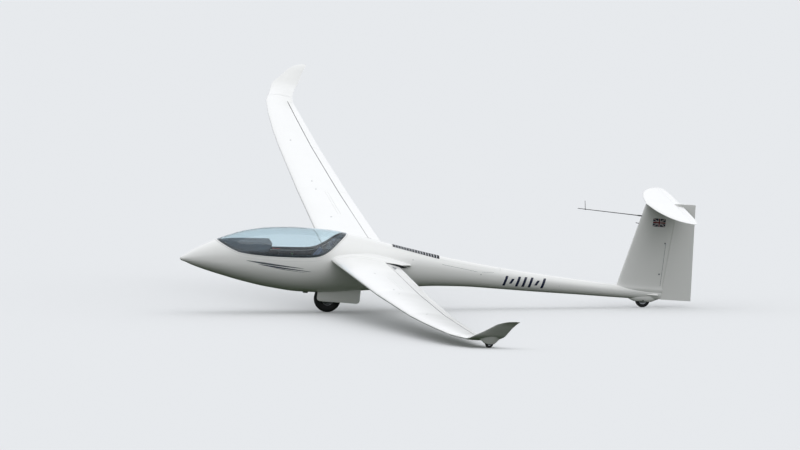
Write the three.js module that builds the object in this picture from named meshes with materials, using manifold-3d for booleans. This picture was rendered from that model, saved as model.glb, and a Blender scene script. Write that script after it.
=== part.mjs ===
// A single-seat 18 metre sailplane with flaps, a T-tail, winglets and a retracting main wheel.
// It stands parked: gear down, on its main wheel and tail wheel, with the port wing tip wheel
// on the ground.
//
// Everything is drawn in the airframe's own frame, in millimetres: X runs aft from the nose tip,
// Y points to starboard and Z points up. The parked group at the end tilts the whole aircraft
// onto its three wheels.
import * as THREE from "three";
import { mergeVertices } from "three/addons/utils/BufferGeometryUtils.js";
import Module from "manifold-3d";

const wasm = await Module();
wasm.setup();

// Driving dimensions
const seam = 0.3; // gap between two fixed pieces that touch
const clearance = 5; // gap round a piece that moves
const pinClearance = 0.5; // running gap at hinge pins and axles
const shellWall = 18; // cockpit wall with its foam core
const glassWall = 7;
const frameDepth = 22; // canopy frame, measured in from the outer surface
const frameBand = 26; // canopy frame width along the sill

// Fuselage sections. The widest point of each section lies at the waist height.
const fuselageTable = [
  { x: 0, top: 7, bottom: -7, half: 7, waist: 0 },
  { x: 6, top: 20, bottom: -16, half: 18, waist: 1 },
  { x: 25, top: 37, bottom: -26, half: 31, waist: 4 },
  { x: 60, top: 58, bottom: -36, half: 47, waist: 8 },
  { x: 160, top: 131, bottom: -72, half: 95, waist: 18 },
  { x: 330, top: 232, bottom: -120, half: 156, waist: 30 },
  { x: 560, top: 342, bottom: -174, half: 212, waist: 36 },
  { x: 860, top: 452, bottom: -236, half: 260, waist: 44 },
  { x: 1200, top: 515, bottom: -288, half: 298, waist: 56 },
  { x: 1600, top: 540, bottom: -318, half: 315, waist: 74 },
  { x: 1950, top: 535, bottom: -306, half: 303, waist: 92 },
  { x: 2300, top: 492, bottom: -266, half: 270, waist: 108 },
  { x: 2650, top: 434, bottom: -217, half: 222, waist: 108 },
  { x: 3050, top: 366, bottom: -154, half: 168, waist: 102 },
  { x: 3500, top: 296, bottom: -103, half: 128, waist: 88 },
  { x: 4000, top: 236, bottom: -82, half: 108, waist: 72 },
  { x: 4700, top: 170, bottom: -82, half: 94, waist: 46 },
  { x: 5400, top: 124, bottom: -76, half: 80, waist: 24 },
  { x: 5950, top: 96, bottom: -74, half: 66, waist: 10 },
  { x: 6560, top: 80, bottom: -66, half: 36, waist: 5 },
];
const fuselagePoints = 20;
const frontSplit = 1800; // cockpit shell meets the centre section
const boomSplit = 4400; // centre section meets the tail boom
const noseSolid = 110; // the nose is solid ahead of this station
const farAft = 6560; // last fuselage section

// Canopy edge seen from the side, from the front tip along the sill to the rear tip.
const canopyEdge = [
  [452, 296], [570, 243], [670, 203], [760, 179], [900, 169], [1080, 167], [1300, 172],
  [1520, 182], [1700, 196], [1800, 215], [1880, 250], [1980, 325], [2085, 428], [2200, 520],
];
const bulkhead = { lowX: 1600, lowZ: -300, highX: 2185, highZ: 500 };

// Wing sections, starboard side. Each of the three hinged panels is straight, so the dihedral
// grows in steps.
const wingTable = [
  { y: 340, lead: 1976, trail: 2862, z: 186, thick: 0.148 },
  { y: 1900, lead: 2010, trail: 2811, z: 290, thick: 0.142 },
  { y: 3530, lead: 2045, trail: 2757, z: 399, thick: 0.136 },
  { y: 5780, lead: 2094, trail: 2678, z: 592, thick: 0.132 },
  { y: 6600, lead: 2117, trail: 2652, z: 680, thick: 0.13 },
  { y: 7400, lead: 2158, trail: 2624, z: 767, thick: 0.128 },
  { y: 8050, lead: 2214, trail: 2602, z: 837, thick: 0.125 },
  { y: 8300, lead: 2270, trail: 2628, z: 868, thick: 0.12 },
];
const camber = 0.02;
const trailThickness = 2;

// Winglet sections: cant is the angle by which the section leans over from flat.
const wingletTable = [
  { y: 8300, z: 868, lead: 2270, trail: 2628, thick: 0.12, cant: 0 },
  { y: 8520, z: 896, lead: 2332, trail: 2664, thick: 0.115, cant: 11 },
  { y: 8680, z: 934, lead: 2386, trail: 2706, thick: 0.11, cant: 24 },
  { y: 8780, z: 986, lead: 2462, trail: 2752, thick: 0.1, cant: 42 },
  { y: 8848, z: 1048, lead: 2570, trail: 2794, thick: 0.09, cant: 55 },
  { y: 8905, z: 1112, lead: 2692, trail: 2838, thick: 0.085, cant: 62 },
  { y: 8962, z: 1168, lead: 2806, trail: 2884, thick: 0.08, cant: 62 },
  { y: 8998, z: 1198, lead: 2886, trail: 2924, thick: 0.08, cant: 62 },
];

// Trailing edge surfaces, starboard side, with the hinge at a share of the chord.
const surfaceTable = [
  { name: "flap", from: 490, to: 3524, hinge: 0.8, brackets: [0.1, 0.5, 0.9] },
  { name: "flaperon", from: 3536, to: 5774, hinge: 0.8, brackets: [0.12, 0.88] },
  { name: "aileron", from: 5786, to: 8020, hinge: 0.8, brackets: [0.12, 0.88] },
];

// Airbrake on the wing's upper surface: a lower blade that lifts, and an upper blade with the cap strip.
const brake = {
  from: 2150, to: 3350, share: 0.52, blade: 6, upperTall: 66, lowerTall: 60, cap: 30, capThick: 3,
};

// Vertical tail, as one aerofoil from the fin's leading edge to the rudder's trailing edge.
const tailTable = [
  { z: -54, lead: 5850, trail: 6915, thick: 0.088 },
  { z: 90, lead: 5886, trail: 6907, thick: 0.086 },
  { z: 650, lead: 6022, trail: 6872, thick: 0.08 },
  { z: 1252, lead: 6168, trail: 6836, thick: 0.076 },
];
const rudderHinge = {
  lowX: 6502, lowZ: -54, highX: 6597, highZ: 1252, lowNose: 33, highNose: 17, lowSkin: 38, highSkin: 20,
};
const finTop = 1222; // the fin reaches up into the tailplane's lower skin

// Tailplane sections, one side.
const tailplaneTable = [
  { y: 0, lead: 6162, trail: 6658, thick: 0.105 },
  { y: 500, lead: 6214, trail: 6658, thick: 0.102 },
  { y: 900, lead: 6300, trail: 6652, thick: 0.1 },
  { y: 1100, lead: 6380, trail: 6640, thick: 0.1 },
  { y: 1220, lead: 6466, trail: 6624, thick: 0.1 },
  { y: 1285, lead: 6552, trail: 6604, thick: 0.12 },
];
const tailplaneZ = 1222;
const elevator = {
  hingeX: 6560, nose: 11, skin: 12.5, from: 78, to: 1180, brackets: [0.2, 0.85], tube: 8.5,
};

// Wheels: ring is the tyre's radius to the middle of its section, tube is half the section.
const mainWheel = { x: 2020, y: 0, z: -390, ring: 124, tube: 56, width: 116, rim: 76, axle: 12 };
const tailWheel = { x: 6264, y: 0, z: -83, ring: 76, tube: 23, width: 46, rim: 50, axle: 6 };
const tipWheel = { x: 2592, y: 8700, z: 882, ring: 38, tube: 12, width: 24, rim: 20, axle: 4 };

const gearWell = { fromX: 1850, toX: 2450, half: 96, top: 0 };
const gearPivot = { x: 2340, z: -110 };
const gearBrace = { x: 1915, z: -60 };
const gearDoor = { fromX: 1862, toX: 2438, thick: 8, bottom: -412 };

const engineBay = { fromX: 2800, toX: 4290, frontHalf: 84, rearHalf: 62, floor: -40, doorThick: 8 };
const solarStrip = { fromX: 2812, toX: 3452, inner: 7, outer: 62, thick: 3 };

const shelfDepth = 48;
const pedalBar = { x: 500, z: -50, apart: 92 };
const canopyHinge = { x: 300, z: 148, tube: 6, armY: 60, armThick: 12 };
const cowlTable = [
  { x: 578.3, half: 98, top: 270, bottom: 216 },
  { x: 700, half: 142, top: 290, bottom: 190 },
  { x: 900, half: 180, top: 306, bottom: 182 },
  { x: 1180, half: 204, top: 331, bottom: 182 },
];
const probe = { rootX: 6117, rootZ: 1052, tipX: 5247, tipZ: 1086, radius: 6, postX: 5351, postTop: 1198 };

// Solids
const V = (x, y, z) => new THREE.Vector3(x, y, z);
const radians = THREE.MathUtils.degToRad;

function toSolid(geometry) {
  const bare = new THREE.BufferGeometry();
  bare.setAttribute("position", geometry.getAttribute("position").clone());
  if (geometry.index) bare.setIndex(geometry.index.clone());
  const merged = mergeVertices(bare, 1e-3);
  const solid = new wasm.Manifold(new wasm.Mesh({
    numProp: 3,
    vertProperties: new Float32Array(merged.attributes.position.array),
    triVerts: new Uint32Array(merged.index.array),
  }));
  return solid;
}

function toGeometry(solid) {
  const mesh = solid.getMesh();
  const positions = new Float32Array(mesh.numVert * 3);
  for (let i = 0; i < mesh.numVert; i += 1) {
    positions.set(mesh.vertProperties.subarray(i * mesh.numProp, i * mesh.numProp + 3), i * 3);
  }
  const geometry = new THREE.BufferGeometry();
  geometry.setAttribute("position", new THREE.BufferAttribute(positions, 3));
  geometry.setIndex(new THREE.BufferAttribute(new Uint32Array(mesh.triVerts), 1));
  geometry.computeVertexNormals();
  return geometry;
}

const place = (geometry, matrix) => toSolid(geometry.clone().applyMatrix4(matrix));
const join = (...solids) => solids.reduce((a, b) => a.add(b));
const cut = (solid, ...tools) => tools.reduce((a, b) => a.subtract(b), solid);
const mirrored = (solid) => toSolid(flip(toGeometry(solid)));

function flip(geometry) {
  const made = geometry.clone().applyMatrix4(new THREE.Matrix4().makeScale(1, -1, 1));
  const index = made.index.array;
  for (let i = 0; i < index.length; i += 3) [index[i + 1], index[i + 2]] = [index[i + 2], index[i + 1]];
  return made;
}

// A box between two corners.
function box(x0, x1, y0, y1, z0, z1) {
  const geometry = new THREE.BoxGeometry(x1 - x0, y1 - y0, z1 - z0);
  return place(geometry, new THREE.Matrix4().makeTranslation((x0 + x1) / 2, (y0 + y1) / 2, (z0 + z1) / 2));
}

// A round bar, or a cone where the two radii differ, between two points.
function bar(from, to, radius, endRadius = radius, sides = 12) {
  const along = to.clone().sub(from);
  const geometry = new THREE.CylinderGeometry(endRadius, radius, along.length(), sides);
  const turn = new THREE.Quaternion().setFromUnitVectors(V(0, 1, 0), along.clone().normalize());
  const middle = from.clone().add(to).multiplyScalar(0.5);
  return place(geometry, new THREE.Matrix4().compose(middle, turn, V(1, 1, 1)));
}

// A round bar that lies straight across the aircraft.
const crossBar = (x, z, half, radius, sides) => bar(V(x, -half, z), V(x, half, z), radius, radius, sides);

// An outline in the XZ plane, given as [x, z] points, extruded between two Y values.
function plate(outline, y0, y1) {
  const shape = new THREE.Shape(outline.map(([x, z]) => new THREE.Vector2(x, z)));
  const geometry = new THREE.ExtrudeGeometry(shape, { depth: y1 - y0, bevelEnabled: false });
  const turn = new THREE.Matrix4().makeRotationX(Math.PI / 2).setPosition(0, y1, 0);
  return place(geometry, turn);
}

// A closed loft through rings of equally many points. The end caps are triangulated in their own plane.
function loft(rings) {
  const count = rings[0].length;
  const points = rings.flat();
  const index = [];
  for (let r = 0; r + 1 < rings.length; r += 1) {
    for (let k = 0; k < count; k += 1) {
      const a = r * count + k;
      const b = r * count + ((k + 1) % count);
      index.push(a, b, b + count, a, b + count, a + count);
    }
  }
  const capTriangles = (ring, offset, reverse) => {
    const spread = new THREE.Box3().setFromPoints(ring).getSize(V(0, 0, 0));
    const axes = ["x", "y", "z"].sort((a, b) => spread[b] - spread[a]).slice(0, 2);
    const flat = ring.map((p) => new THREE.Vector2(p[axes[0]], p[axes[1]]));
    const clockwise = THREE.ShapeUtils.isClockWise(flat);
    const order = ring.map((_, i) => (clockwise ? count - 1 - i : i));
    const faces = THREE.ShapeUtils.triangulateShape(order.map((i) => flat[i]), []);
    for (const face of faces) {
      const [a, b, c] = face.map((i) => order[i] + offset);
      const turned = clockwise !== reverse;
      index.push(...(turned ? [a, c, b] : [a, b, c]));
    }
  };
  capTriangles(rings[0], 0, true);
  capTriangles(rings[rings.length - 1], (rings.length - 1) * count, false);
  const geometry = new THREE.BufferGeometry().setFromPoints(points);
  geometry.setIndex(index);
  const solid = toSolid(geometry);
  if (solid.volume() > 0) return solid;
  for (let i = 0; i < index.length; i += 3) [index[i + 1], index[i + 2]] = [index[i + 2], index[i + 1]];
  geometry.setIndex(index);
  return toSolid(geometry);
}

// A box from a centre and three directions, each with a low and a high reach.
function slab(centre, [a, a0, a1], [b, b0, b1], [c, c0, c1]) {
  const corner = (s, t, u) => (
    centre.clone().addScaledVector(a, s).addScaledVector(b, t).addScaledVector(c, u)
  );
  const ring = (u) => [corner(a0, b0, u), corner(a1, b0, u), corner(a1, b1, u), corner(a0, b1, u)];
  return loft([ring(c0), ring(c1)]);
}

// The direction square to a hinge line that points towards the nose.
function forwardOf(along, across) {
  const forward = along.clone().cross(across).normalize();
  return forward.x < 0 ? forward : forward.negate();
}

// A value read from a table column at any station, by a smooth curve that never overshoots.
function column(table, along, key) {
  const xs = table.map((row) => row[along]);
  const ys = table.map((row) => row[key]);
  const slopes = xs.slice(1).map((x, i) => (ys[i + 1] - ys[i]) / (x - xs[i]));
  const tangents = xs.map((_, i) => {
    if (i === 0) return slopes[0];
    if (i === xs.length - 1) return slopes[i - 1];
    if (slopes[i - 1] * slopes[i] <= 0) return 0;
    return (2 * slopes[i - 1] * slopes[i]) / (slopes[i - 1] + slopes[i]);
  });
  return (x) => {
    const i = Math.max(0, Math.min(xs.length - 2, xs.findIndex((v) => v > x) - 1));
    const last = x >= xs[xs.length - 1] ? xs.length - 2 : i;
    const h = xs[last + 1] - xs[last];
    const t = (x - xs[last]) / h;
    const a = ys[last] * (2 * t ** 3 - 3 * t ** 2 + 1) + tangents[last] * h * (t ** 3 - 2 * t ** 2 + t);
    return a + ys[last + 1] * (3 * t ** 2 - 2 * t ** 3) + tangents[last + 1] * h * (t ** 3 - t ** 2);
  };
}

const linear = (table, along, key) => (at) => {
  const i = Math.max(0, Math.min(table.length - 2, table.findIndex((row) => row[along] > at) - 1));
  const low = table[at >= table[table.length - 1][along] ? table.length - 2 : i];
  const high = table[table.indexOf(low) + 1];
  return low[key] + ((high[key] - low[key]) * (at - low[along])) / (high[along] - low[along]);
};

// Fuselage
const fuselageAt = Object.fromEntries(
  ["top", "bottom", "half", "waist"].map((key) => [key, column(fuselageTable, "x", key)]),
);

function fuselageRing(x, grow) {
  const waist = fuselageAt.waist(x);
  const up = Math.max(1, fuselageAt.top(x) - waist + grow);
  const down = Math.max(1, waist - fuselageAt.bottom(x) + grow);
  const half = Math.max(1, fuselageAt.half(x) + grow);
  return Array.from({ length: fuselagePoints }, (_, k) => {
    const angle = (2 * Math.PI * k) / fuselagePoints;
    const across = Math.sin(angle);
    const lift = Math.cos(angle);
    return V(x, half * across, waist + (lift > 0 ? up : down) * lift);
  });
}

const fuselageStations = [
  0, 6, 25, 60, 110, 200, 330, 450, 600, 780, 980, 1200, 1400, 1600, 1800, 2000, 2200, 2420, 2650,
  2880, 3150, 3500, 3850, 4300, 4850, 5400, 5950, 6560,
];

function fuselageBody(grow, from = 0, to = farAft) {
  const stations = fuselageStations.filter((x) => x > from + 5 && x < to - 10);
  return loft([from, ...stations, to].map((x) => fuselageRing(x, grow)));
}

// The canopy edge as an outline in side view, raised by a distance along its own normal.
function canopyRegion(raise) {
  const curve = new THREE.SplineCurve(canopyEdge.map(([x, z]) => new THREE.Vector2(x, z)));
  const steps = 20;
  const line = Array.from({ length: steps + 1 }, (_, i) => {
    const point = curve.getPoint(i / steps);
    const tangent = curve.getTangent(i / steps);
    return [point.x - tangent.y * raise, point.y + tangent.x * raise];
  });
  return plate([...line, [2300, 900], [380, 900]], -420, 420);
}

const outer = fuselageBody(0);
const outerSeam = fuselageBody(seam);
const { lowX, lowZ, highX, highZ } = bulkhead;
const beyond = (z) => lowX + ((highX - lowX) * (z - lowZ)) / (highZ - lowZ);
const aheadOfBulkhead = plate(
  [[-50, -600], [beyond(-600), -600], [beyond(900), 900], [-50, 900]], -600, 600,
);
const hollow = fuselageBody(-shellWall, noseSolid, 2400).intersect(aheadOfBulkhead);
const canopyOpening = canopyRegion(0);

// Wing
const wingAt = Object.fromEntries(
  ["lead", "trail", "z", "thick"].map((key) => [key, linear(wingTable, "y", key)]),
);
const foilSteps = [0, 0.014, 0.06, 0.16, 0.34, 0.55, 0.8, 1];

// Half thickness of a section, as a share of its chord, by the usual four-digit formula.
function foilHalf(share, thick) {
  const root = 0.2969 * Math.sqrt(share) - 0.126 * share - 0.3516 * share ** 2;
  return 5 * thick * (root + 0.2843 * share ** 3 - 0.1036 * share ** 4);
}

const foilCamber = (share, amount) => 4 * amount * share * (1 - share);

// Ring of points round an aerofoil. across is the unit vector from the lower to the upper surface.
function foilRing(lead, chord, thick, amount, across) {
  const point = (share, side) => {
    const lift = foilCamber(share, amount) + side * (foilHalf(share, thick));
    const tail = side * share * (trailThickness / 2);
    return V(lead.x + share * chord, lead.y, lead.z).addScaledVector(across, lift * chord + tail);
  };
  const upper = foilSteps.map((share) => point(share, 1));
  const lower = foilSteps.slice(1).reverse().map((share) => point(share, -1));
  return [...upper, ...lower];
}

function wingRing(y, grow = 0) {
  const lead = wingAt.lead(y);
  const chord = wingAt.trail(y) - lead;
  return foilRing(V(lead, y, wingAt.z(y)), chord, wingAt.thick(y) + grow, camber, V(0, 0, 1));
}

const wingBlank = loft(wingTable.map((row) => wingRing(row.y)));

const wingletBlank = loft(wingletTable.map((row) => {
  const cant = radians(row.cant);
  const lead = V(row.lead, row.y + (row === wingletTable[0] ? seam : 0), row.z);
  return foilRing(lead, row.trail - row.lead, row.thick, camber / 2, V(0, -Math.sin(cant), Math.cos(cant)));
}));

// The point on the hinge line of a trailing edge surface.
function hingePoint(y, share) {
  const chord = wingAt.trail(y) - wingAt.lead(y);
  return V(wingAt.lead(y) + share * chord, y, wingAt.z(y) + foilCamber(share, camber) * chord);
}

// All that lies on or behind a hinge line: a cone round the line and a slab that runs aft from it.
function behindHinge(a, b, radiusA, radiusB, across) {
  const reach = 520;
  const tall = 160;
  const corners = (p) => [
    p.clone().addScaledVector(across, tall), p.clone().addScaledVector(across, tall).add(V(reach, 0, 0)),
    p.clone().addScaledVector(across, -tall).add(V(reach, 0, 0)), p.clone().addScaledVector(across, -tall),
  ];
  return bar(a, b, radiusA, radiusB, 16).add(loft([corners(a), corners(b)]));
}

// A hinge bracket: a lug that grows out of the fixed surface, with a pin on the hinge line.
const notchWide = 30;
const notchDeep = 15;
function bracket(centre, along, across, reach) {
  const half = notchWide / 2 - pinClearance;
  const [low, high] = [-half, half].map((s) => centre.clone().addScaledVector(along, s));
  const pin = bar(low, high, 5);
  return pin.add(slab(centre, [along, -6, 6], [across, -4, 4], [forwardOf(along, across), 0, reach]));
}

function notch(centre, along, across, ahead) {
  const half = notchWide / 2;
  const forward = forwardOf(along, across);
  return slab(centre, [along, -half, half], [across, -90, 90], [forward, -notchDeep, ahead]);
}

const up = V(0, 0, 1);

// One trailing edge surface and the cuts and brackets that it needs in the wing.
function trailingSurface({ from, to, hinge, brackets }) {
  const a = hingePoint(from, hinge);
  const b = hingePoint(to, hinge);
  const skinAt = (y) => foilHalf(hinge, wingAt.thick(y)) * (wingAt.trail(y) - wingAt.lead(y)) + 1;
  const radiusAt = (y) => 0.92 * skinAt(y);
  const along = b.clone().sub(a).normalize();
  const square = V(0, -along.z, along.y);
  const stretch = (p, sign) => p.clone().addScaledVector(along, sign * clearance * 2);
  const moving = behindHinge(a, b, radiusAt(from), radiusAt(to), up);
  const fixedCut = behindHinge(
    stretch(a, -1), stretch(b, 1), skinAt(from) + clearance, skinAt(to) + clearance, up,
  );
  let surface = wingBlank.intersect(moving);
  const lugs = [];
  for (const share of brackets) {
    const centre = a.clone().lerp(b, share);
    const cove = THREE.MathUtils.lerp(skinAt(from), skinAt(to), share) + clearance;
    surface = surface.subtract(notch(centre, along, square, cove));
    lugs.push(bracket(centre, along, square, cove + 12));
  }
  return { surface, fixedCut, lugs };
}

const surfaces = surfaceTable.map((row) => ({ name: row.name, ...trailingSurface(row) }));

// Airbrake box in the wing, its guide rods, and the two blades.
function airbrake() {
  const station = (y, share) => {
    const chord = wingAt.trail(y) - wingAt.lead(y);
    const skin = foilCamber(share, camber) + foilHalf(share, wingAt.thick(y));
    return V(wingAt.lead(y) + share * chord, y, wingAt.z(y) + skin * chord);
  };
  const a = station(brake.from, brake.share);
  const b = station(brake.to, brake.share);
  const along = b.clone().sub(a).normalize();
  const lift = V(0, -along.z, along.y).normalize();
  // A bar of rectangular section along the brake: offsets are aft and up from its top edge line.
  const beam = (aft0, aft1, low, high, trimA = 0, trimB = 0) => {
    const ring = (p) => [[aft0, low], [aft1, low], [aft1, high], [aft0, high]].map(
      ([aft, height]) => p.clone().add(V(aft, 0, 0)).addScaledVector(lift, height),
    );
    const start = a.clone().addScaledVector(along, trimA);
    const end = b.clone().addScaledVector(along, -trimB);
    return loft([ring(start), ring(end)]);
  };
  const deep = 80;
  const half = brake.cap / 2;
  const slot = beam(-13, 13, -deep, 12).add(beam(-half - clearance, half + clearance, -9, 12));
  const inset = clearance * 2;
  const upperBlade = beam(-8.5, -2.5, -6 - brake.upperTall, -3.5, inset, inset);
  const capStrip = beam(-half, half, -4, 30, clearance, clearance).intersect(wingBlank);
  const upper = upperBlade.add(capStrip);
  const lower = beam(2.5, 8.5, -deep + 12, -deep + 12 + brake.lowerTall, inset, inset);
  const rodAt = (p, aft) => {
    const foot = p.clone().add(V(aft, 0, 0)).addScaledVector(lift, -deep - 2);
    return bar(foot, foot.clone().addScaledVector(lift, 66), 4, 4, 8);
  };
  const inward = inset - pinClearance - 4;
  const rods = [a.clone().addScaledVector(along, inward), b.clone().addScaledVector(along, -inward)]
    .flatMap((p) => [rodAt(p, -5.5), rodAt(p, 5.5)]);
  return { slot, upper, lower, rods, lift };
}

const brakes = airbrake();

const tipFairingTable = [
  { x: 2490, low: 886, half: 5 },
  { x: 2530, low: 868, half: 20 },
  { x: 2562, low: 856, half: 25 },
  { x: 2622, low: 856, half: 25 },
  { x: 2660, low: 872, half: 20 },
  { x: 2705, low: 896, half: 5 },
];

const wingSolid = join(
  cut(wingBlank, ...surfaces.map((s) => s.fixedCut), brakes.slot),
  ...surfaces.flatMap((s) => s.lugs), ...brakes.rods,
);

// Fixed wing roots on the fuselage, with their fillets.
const rootTable = [
  { y: 60, lead: 1740, trail: 3200, z: 170, thick: 0.2 },
  { y: 200, lead: 1850, trail: 3080, z: 176, thick: 0.18 },
  { y: 268, lead: 1925, trail: 2985, z: 181, thick: 0.155 },
  { y: 340 - seam, lead: 1976, trail: 2862, z: 186, thick: 0.148 },
];
const rootStub = loft(rootTable.map((row) => foilRing(
  V(row.lead, row.y, row.z), row.trail - row.lead, row.thick, camber, up,
)));
const starboardRoot = rootStub.subtract(hollow);

// Engine bay in the spine, its two doors and the solar strips on them.
function baySlab(fromX, toX, inner, extra, low, high) {
  const share = (x) => (x - engineBay.fromX) / (engineBay.toX - engineBay.fromX);
  const half = (x) => THREE.MathUtils.lerp(engineBay.frontHalf, engineBay.rearHalf, share(x)) + extra;
  const ring = (x) => [V(x, inner, low), V(x, half(x), low), V(x, half(x), high), V(x, inner, high)];
  return loft([ring(fromX), ring(toX)]);
}
const { fromX: bayFrom, toX: bayTo } = engineBay;
const wholeBay = (extra, low) => {
  const right = baySlab(bayFrom, bayTo, 0, extra, low, 600);
  return join(right, mirrored(right));
};
const bay = wholeBay(0, engineBay.floor);
const doorBlank = baySlab(bayFrom + clearance, bayTo - clearance, clearance / 2, -clearance, 75, 600);
const doorShell = outer.intersect(doorBlank).subtract(fuselageBody(-engineBay.doorThick));

function surfaceZ(x, y) {
  const waist = fuselageAt.waist(x);
  return waist + (fuselageAt.top(x) - waist) * Math.sqrt(1 - (y / fuselageAt.half(x)) ** 2);
}
const hingeEnd = (x, half) => V(x, half, surfaceZ(x, half) + 1);
const doorHinge = [
  hingeEnd(bayFrom + clearance, engineBay.frontHalf - clearance),
  hingeEnd(bayTo - clearance, engineBay.rearHalf - clearance),
];
const doorAlong = doorHinge[1].clone().sub(doorHinge[0]).normalize();
const doorPinShares = [0.05, 0.95];
const doorOut = V(-doorAlong.y, doorAlong.x, 0).normalize();
const doorUp = doorAlong.clone().cross(doorOut).normalize();
const doorCentres = doorPinShares.map((share) => doorHinge[0].clone().lerp(doorHinge[1], share));
const doorPins = doorCentres.map((centre) => {
  const half = notchWide / 2 - pinClearance;
  const ends = [-half, half].map((s) => centre.clone().addScaledVector(doorAlong, s));
  const lug = slab(centre, [doorAlong, -5, 5], [doorOut, 0, 16], [doorUp, -16, 3]);
  return bar(ends[0], ends[1], 4, 4, 8).add(lug);
});
const doorNotches = doorCentres.map((centre) => (
  slab(centre, [doorAlong, -notchWide / 2, notchWide / 2], [doorOut, -11, 30], [doorUp, -60, 40])
));
const engineDoor = cut(doorShell, ...doorNotches);
const solar = fuselageBody(seam + solarStrip.thick)
  .intersect(box(solarStrip.fromX, solarStrip.toX, solarStrip.inner, solarStrip.outer, 0, 600))
  .subtract(outerSeam);

// Gear well in the belly, with doors that hang open on each side.
const well = box(gearWell.fromX, gearWell.toX, -gearWell.half, gearWell.half, -500, gearWell.top);
const doorY = gearWell.half + 3;
const gearDoorSolid = box(
  gearDoor.fromX, gearDoor.toX, doorY, doorY + gearDoor.thick, gearDoor.bottom, -150,
).subtract(outerSeam);

// Vertical tail
const tailRing = (row) => foilRing(V(row.lead, 0, row.z), row.trail - row.lead, row.thick, 0, V(0, 1, 0));
const tailBlank = loft(tailTable.map(tailRing));
const tailSeam = loft(tailTable.map((row) => tailRing({ ...row, lead: row.lead - 2 * seam })));
const rudderLow = V(rudderHinge.lowX, 0, rudderHinge.lowZ);
const rudderHigh = V(rudderHinge.highX, 0, rudderHinge.highZ);
const rudderAlong = rudderHigh.clone().sub(rudderLow).normalize();
const sideways = V(0, 1, 0);
const rudderEnds = [
  rudderLow.clone().addScaledVector(rudderAlong, -40), rudderHigh.clone().addScaledVector(rudderAlong, 40),
];
const rudderCut = behindHinge(
  ...rudderEnds, rudderHinge.lowSkin + clearance, rudderHinge.highSkin + clearance, sideways,
);
const rudderKeep = behindHinge(...rudderEnds, rudderHinge.lowNose, rudderHinge.highNose, sideways);
const rudderShares = [0.18, 0.52, 0.86];
const rudderCentres = rudderShares.map((share) => rudderLow.clone().lerp(rudderHigh, share));
const rudderSolid = cut(
  tailBlank.intersect(rudderKeep),
  ...rudderCentres.map((c) => notch(c, rudderAlong, sideways, rudderHinge.lowSkin + clearance)),
);

// Tailplane and elevator
const portRows = tailplaneTable.slice(1).reverse().map((row) => ({ ...row, y: -row.y }));
const tailplaneRows = [...portRows, ...tailplaneTable];
const tailplaneAt = (gap) => loft(tailplaneRows.map((row) => foilRing(
  V(row.lead - 2 * gap, row.y, tailplaneZ - gap), row.trail - row.lead + 2 * gap, row.thick, 0, up,
)));
const tailplaneBlank = tailplaneAt(0);
const tubeRoom = box(6532, 6700, -100, 100, tailplaneZ - 20, 1300);
const finBlank = tailBlank
  .intersect(box(5700, 6700, -100, 100, -20, finTop))
  .subtract(tailplaneAt(seam))
  .subtract(tubeRoom)
  .subtract(rudderCut)
  .subtract(outerSeam);
const finSolid = join(finBlank, ...rudderCentres.map((c) => bracket(c, rudderAlong, sideways, 60)));
const elevatorEnd = (y) => V(elevator.hingeX, y, tailplaneZ);
const elevatorSide = behindHinge(
  elevatorEnd(elevator.from), elevatorEnd(elevator.to), elevator.nose, elevator.nose, up,
);
const elevatorOpen = behindHinge(
  elevatorEnd(elevator.from - clearance), elevatorEnd(elevator.to + clearance),
  elevator.skin + clearance, elevator.skin + clearance, up,
);
const torqueTube = bar(elevatorEnd(-elevator.from - 20), elevatorEnd(elevator.from + 20), elevator.tube);
const tubeChannel = behindHinge(
  elevatorEnd(-elevator.from - clearance), elevatorEnd(elevator.from + clearance),
  elevator.skin + clearance, elevator.skin + clearance, up,
);
const elevatorCentres = elevator.brackets.map(
  (share) => elevatorEnd(elevator.from).lerp(elevatorEnd(elevator.to), share),
);
const elevatorHalf = cut(
  tailplaneBlank.intersect(elevatorSide),
  ...elevatorCentres.map((c) => notch(c, sideways, up, elevator.skin + clearance)),
);
const elevatorSolid = join(elevatorHalf, mirrored(elevatorHalf), torqueTube);
const elevatorLugs = elevatorCentres.map(
  (c) => bracket(c, sideways, up, elevator.skin + clearance + 12),
);
const tailplaneSolid = join(
  cut(tailplaneBlank, elevatorOpen, mirrored(elevatorOpen), tubeChannel),
  ...elevatorLugs, ...elevatorLugs.map(mirrored),
);

// Wheels: the tyre is a ring, the hub fills it and turns on its axle.
function wheelParts(w, sides, gap = seam) {
  const shoulder = w.ring + w.tube * 0.62;
  const wall = w.width / 2;
  const profile = [
    [w.rim, -wall * 0.62], [w.rim + (shoulder - w.rim) * 0.45, -wall], [shoulder, -wall * 0.9],
    [w.ring + w.tube * 0.9, -wall * 0.55], [w.ring + w.tube, -wall * 0.2],
    [w.ring + w.tube, wall * 0.2], [w.ring + w.tube * 0.9, wall * 0.55],
    [shoulder, wall * 0.9], [w.rim + (shoulder - w.rim) * 0.45, wall], [w.rim, wall * 0.62],
  ];
  const spin = (points, count) => new THREE.LatheGeometry(
    [...points, points[0]].map(([r, h]) => new THREE.Vector2(r, h)), count,
  );
  const hubHalf = wall * 0.55;
  const hubProfile = [
    [w.axle + pinClearance, -hubHalf], [w.axle * 2.1, -hubHalf], [w.axle * 2.3, -hubHalf * 0.45],
    [w.rim - gap - 6, -hubHalf * 0.45], [w.rim - gap, -wall * 0.62],
    [w.rim - gap, wall * 0.62], [w.rim - gap - 6, hubHalf * 0.45],
    [w.axle * 2.3, hubHalf * 0.45], [w.axle * 2.1, hubHalf], [w.axle + pinClearance, hubHalf],
  ];
  const at = new THREE.Matrix4().makeTranslation(w.x, w.y, w.z);
  return { tyre: place(spin(profile, sides), at), hub: place(spin(hubProfile, sides), at) };
}

const mainParts = wheelParts(mainWheel, 30);
const tailParts = wheelParts(tailWheel, 22);
const tipParts = wheelParts(tipWheel, 16, -2);

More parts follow.
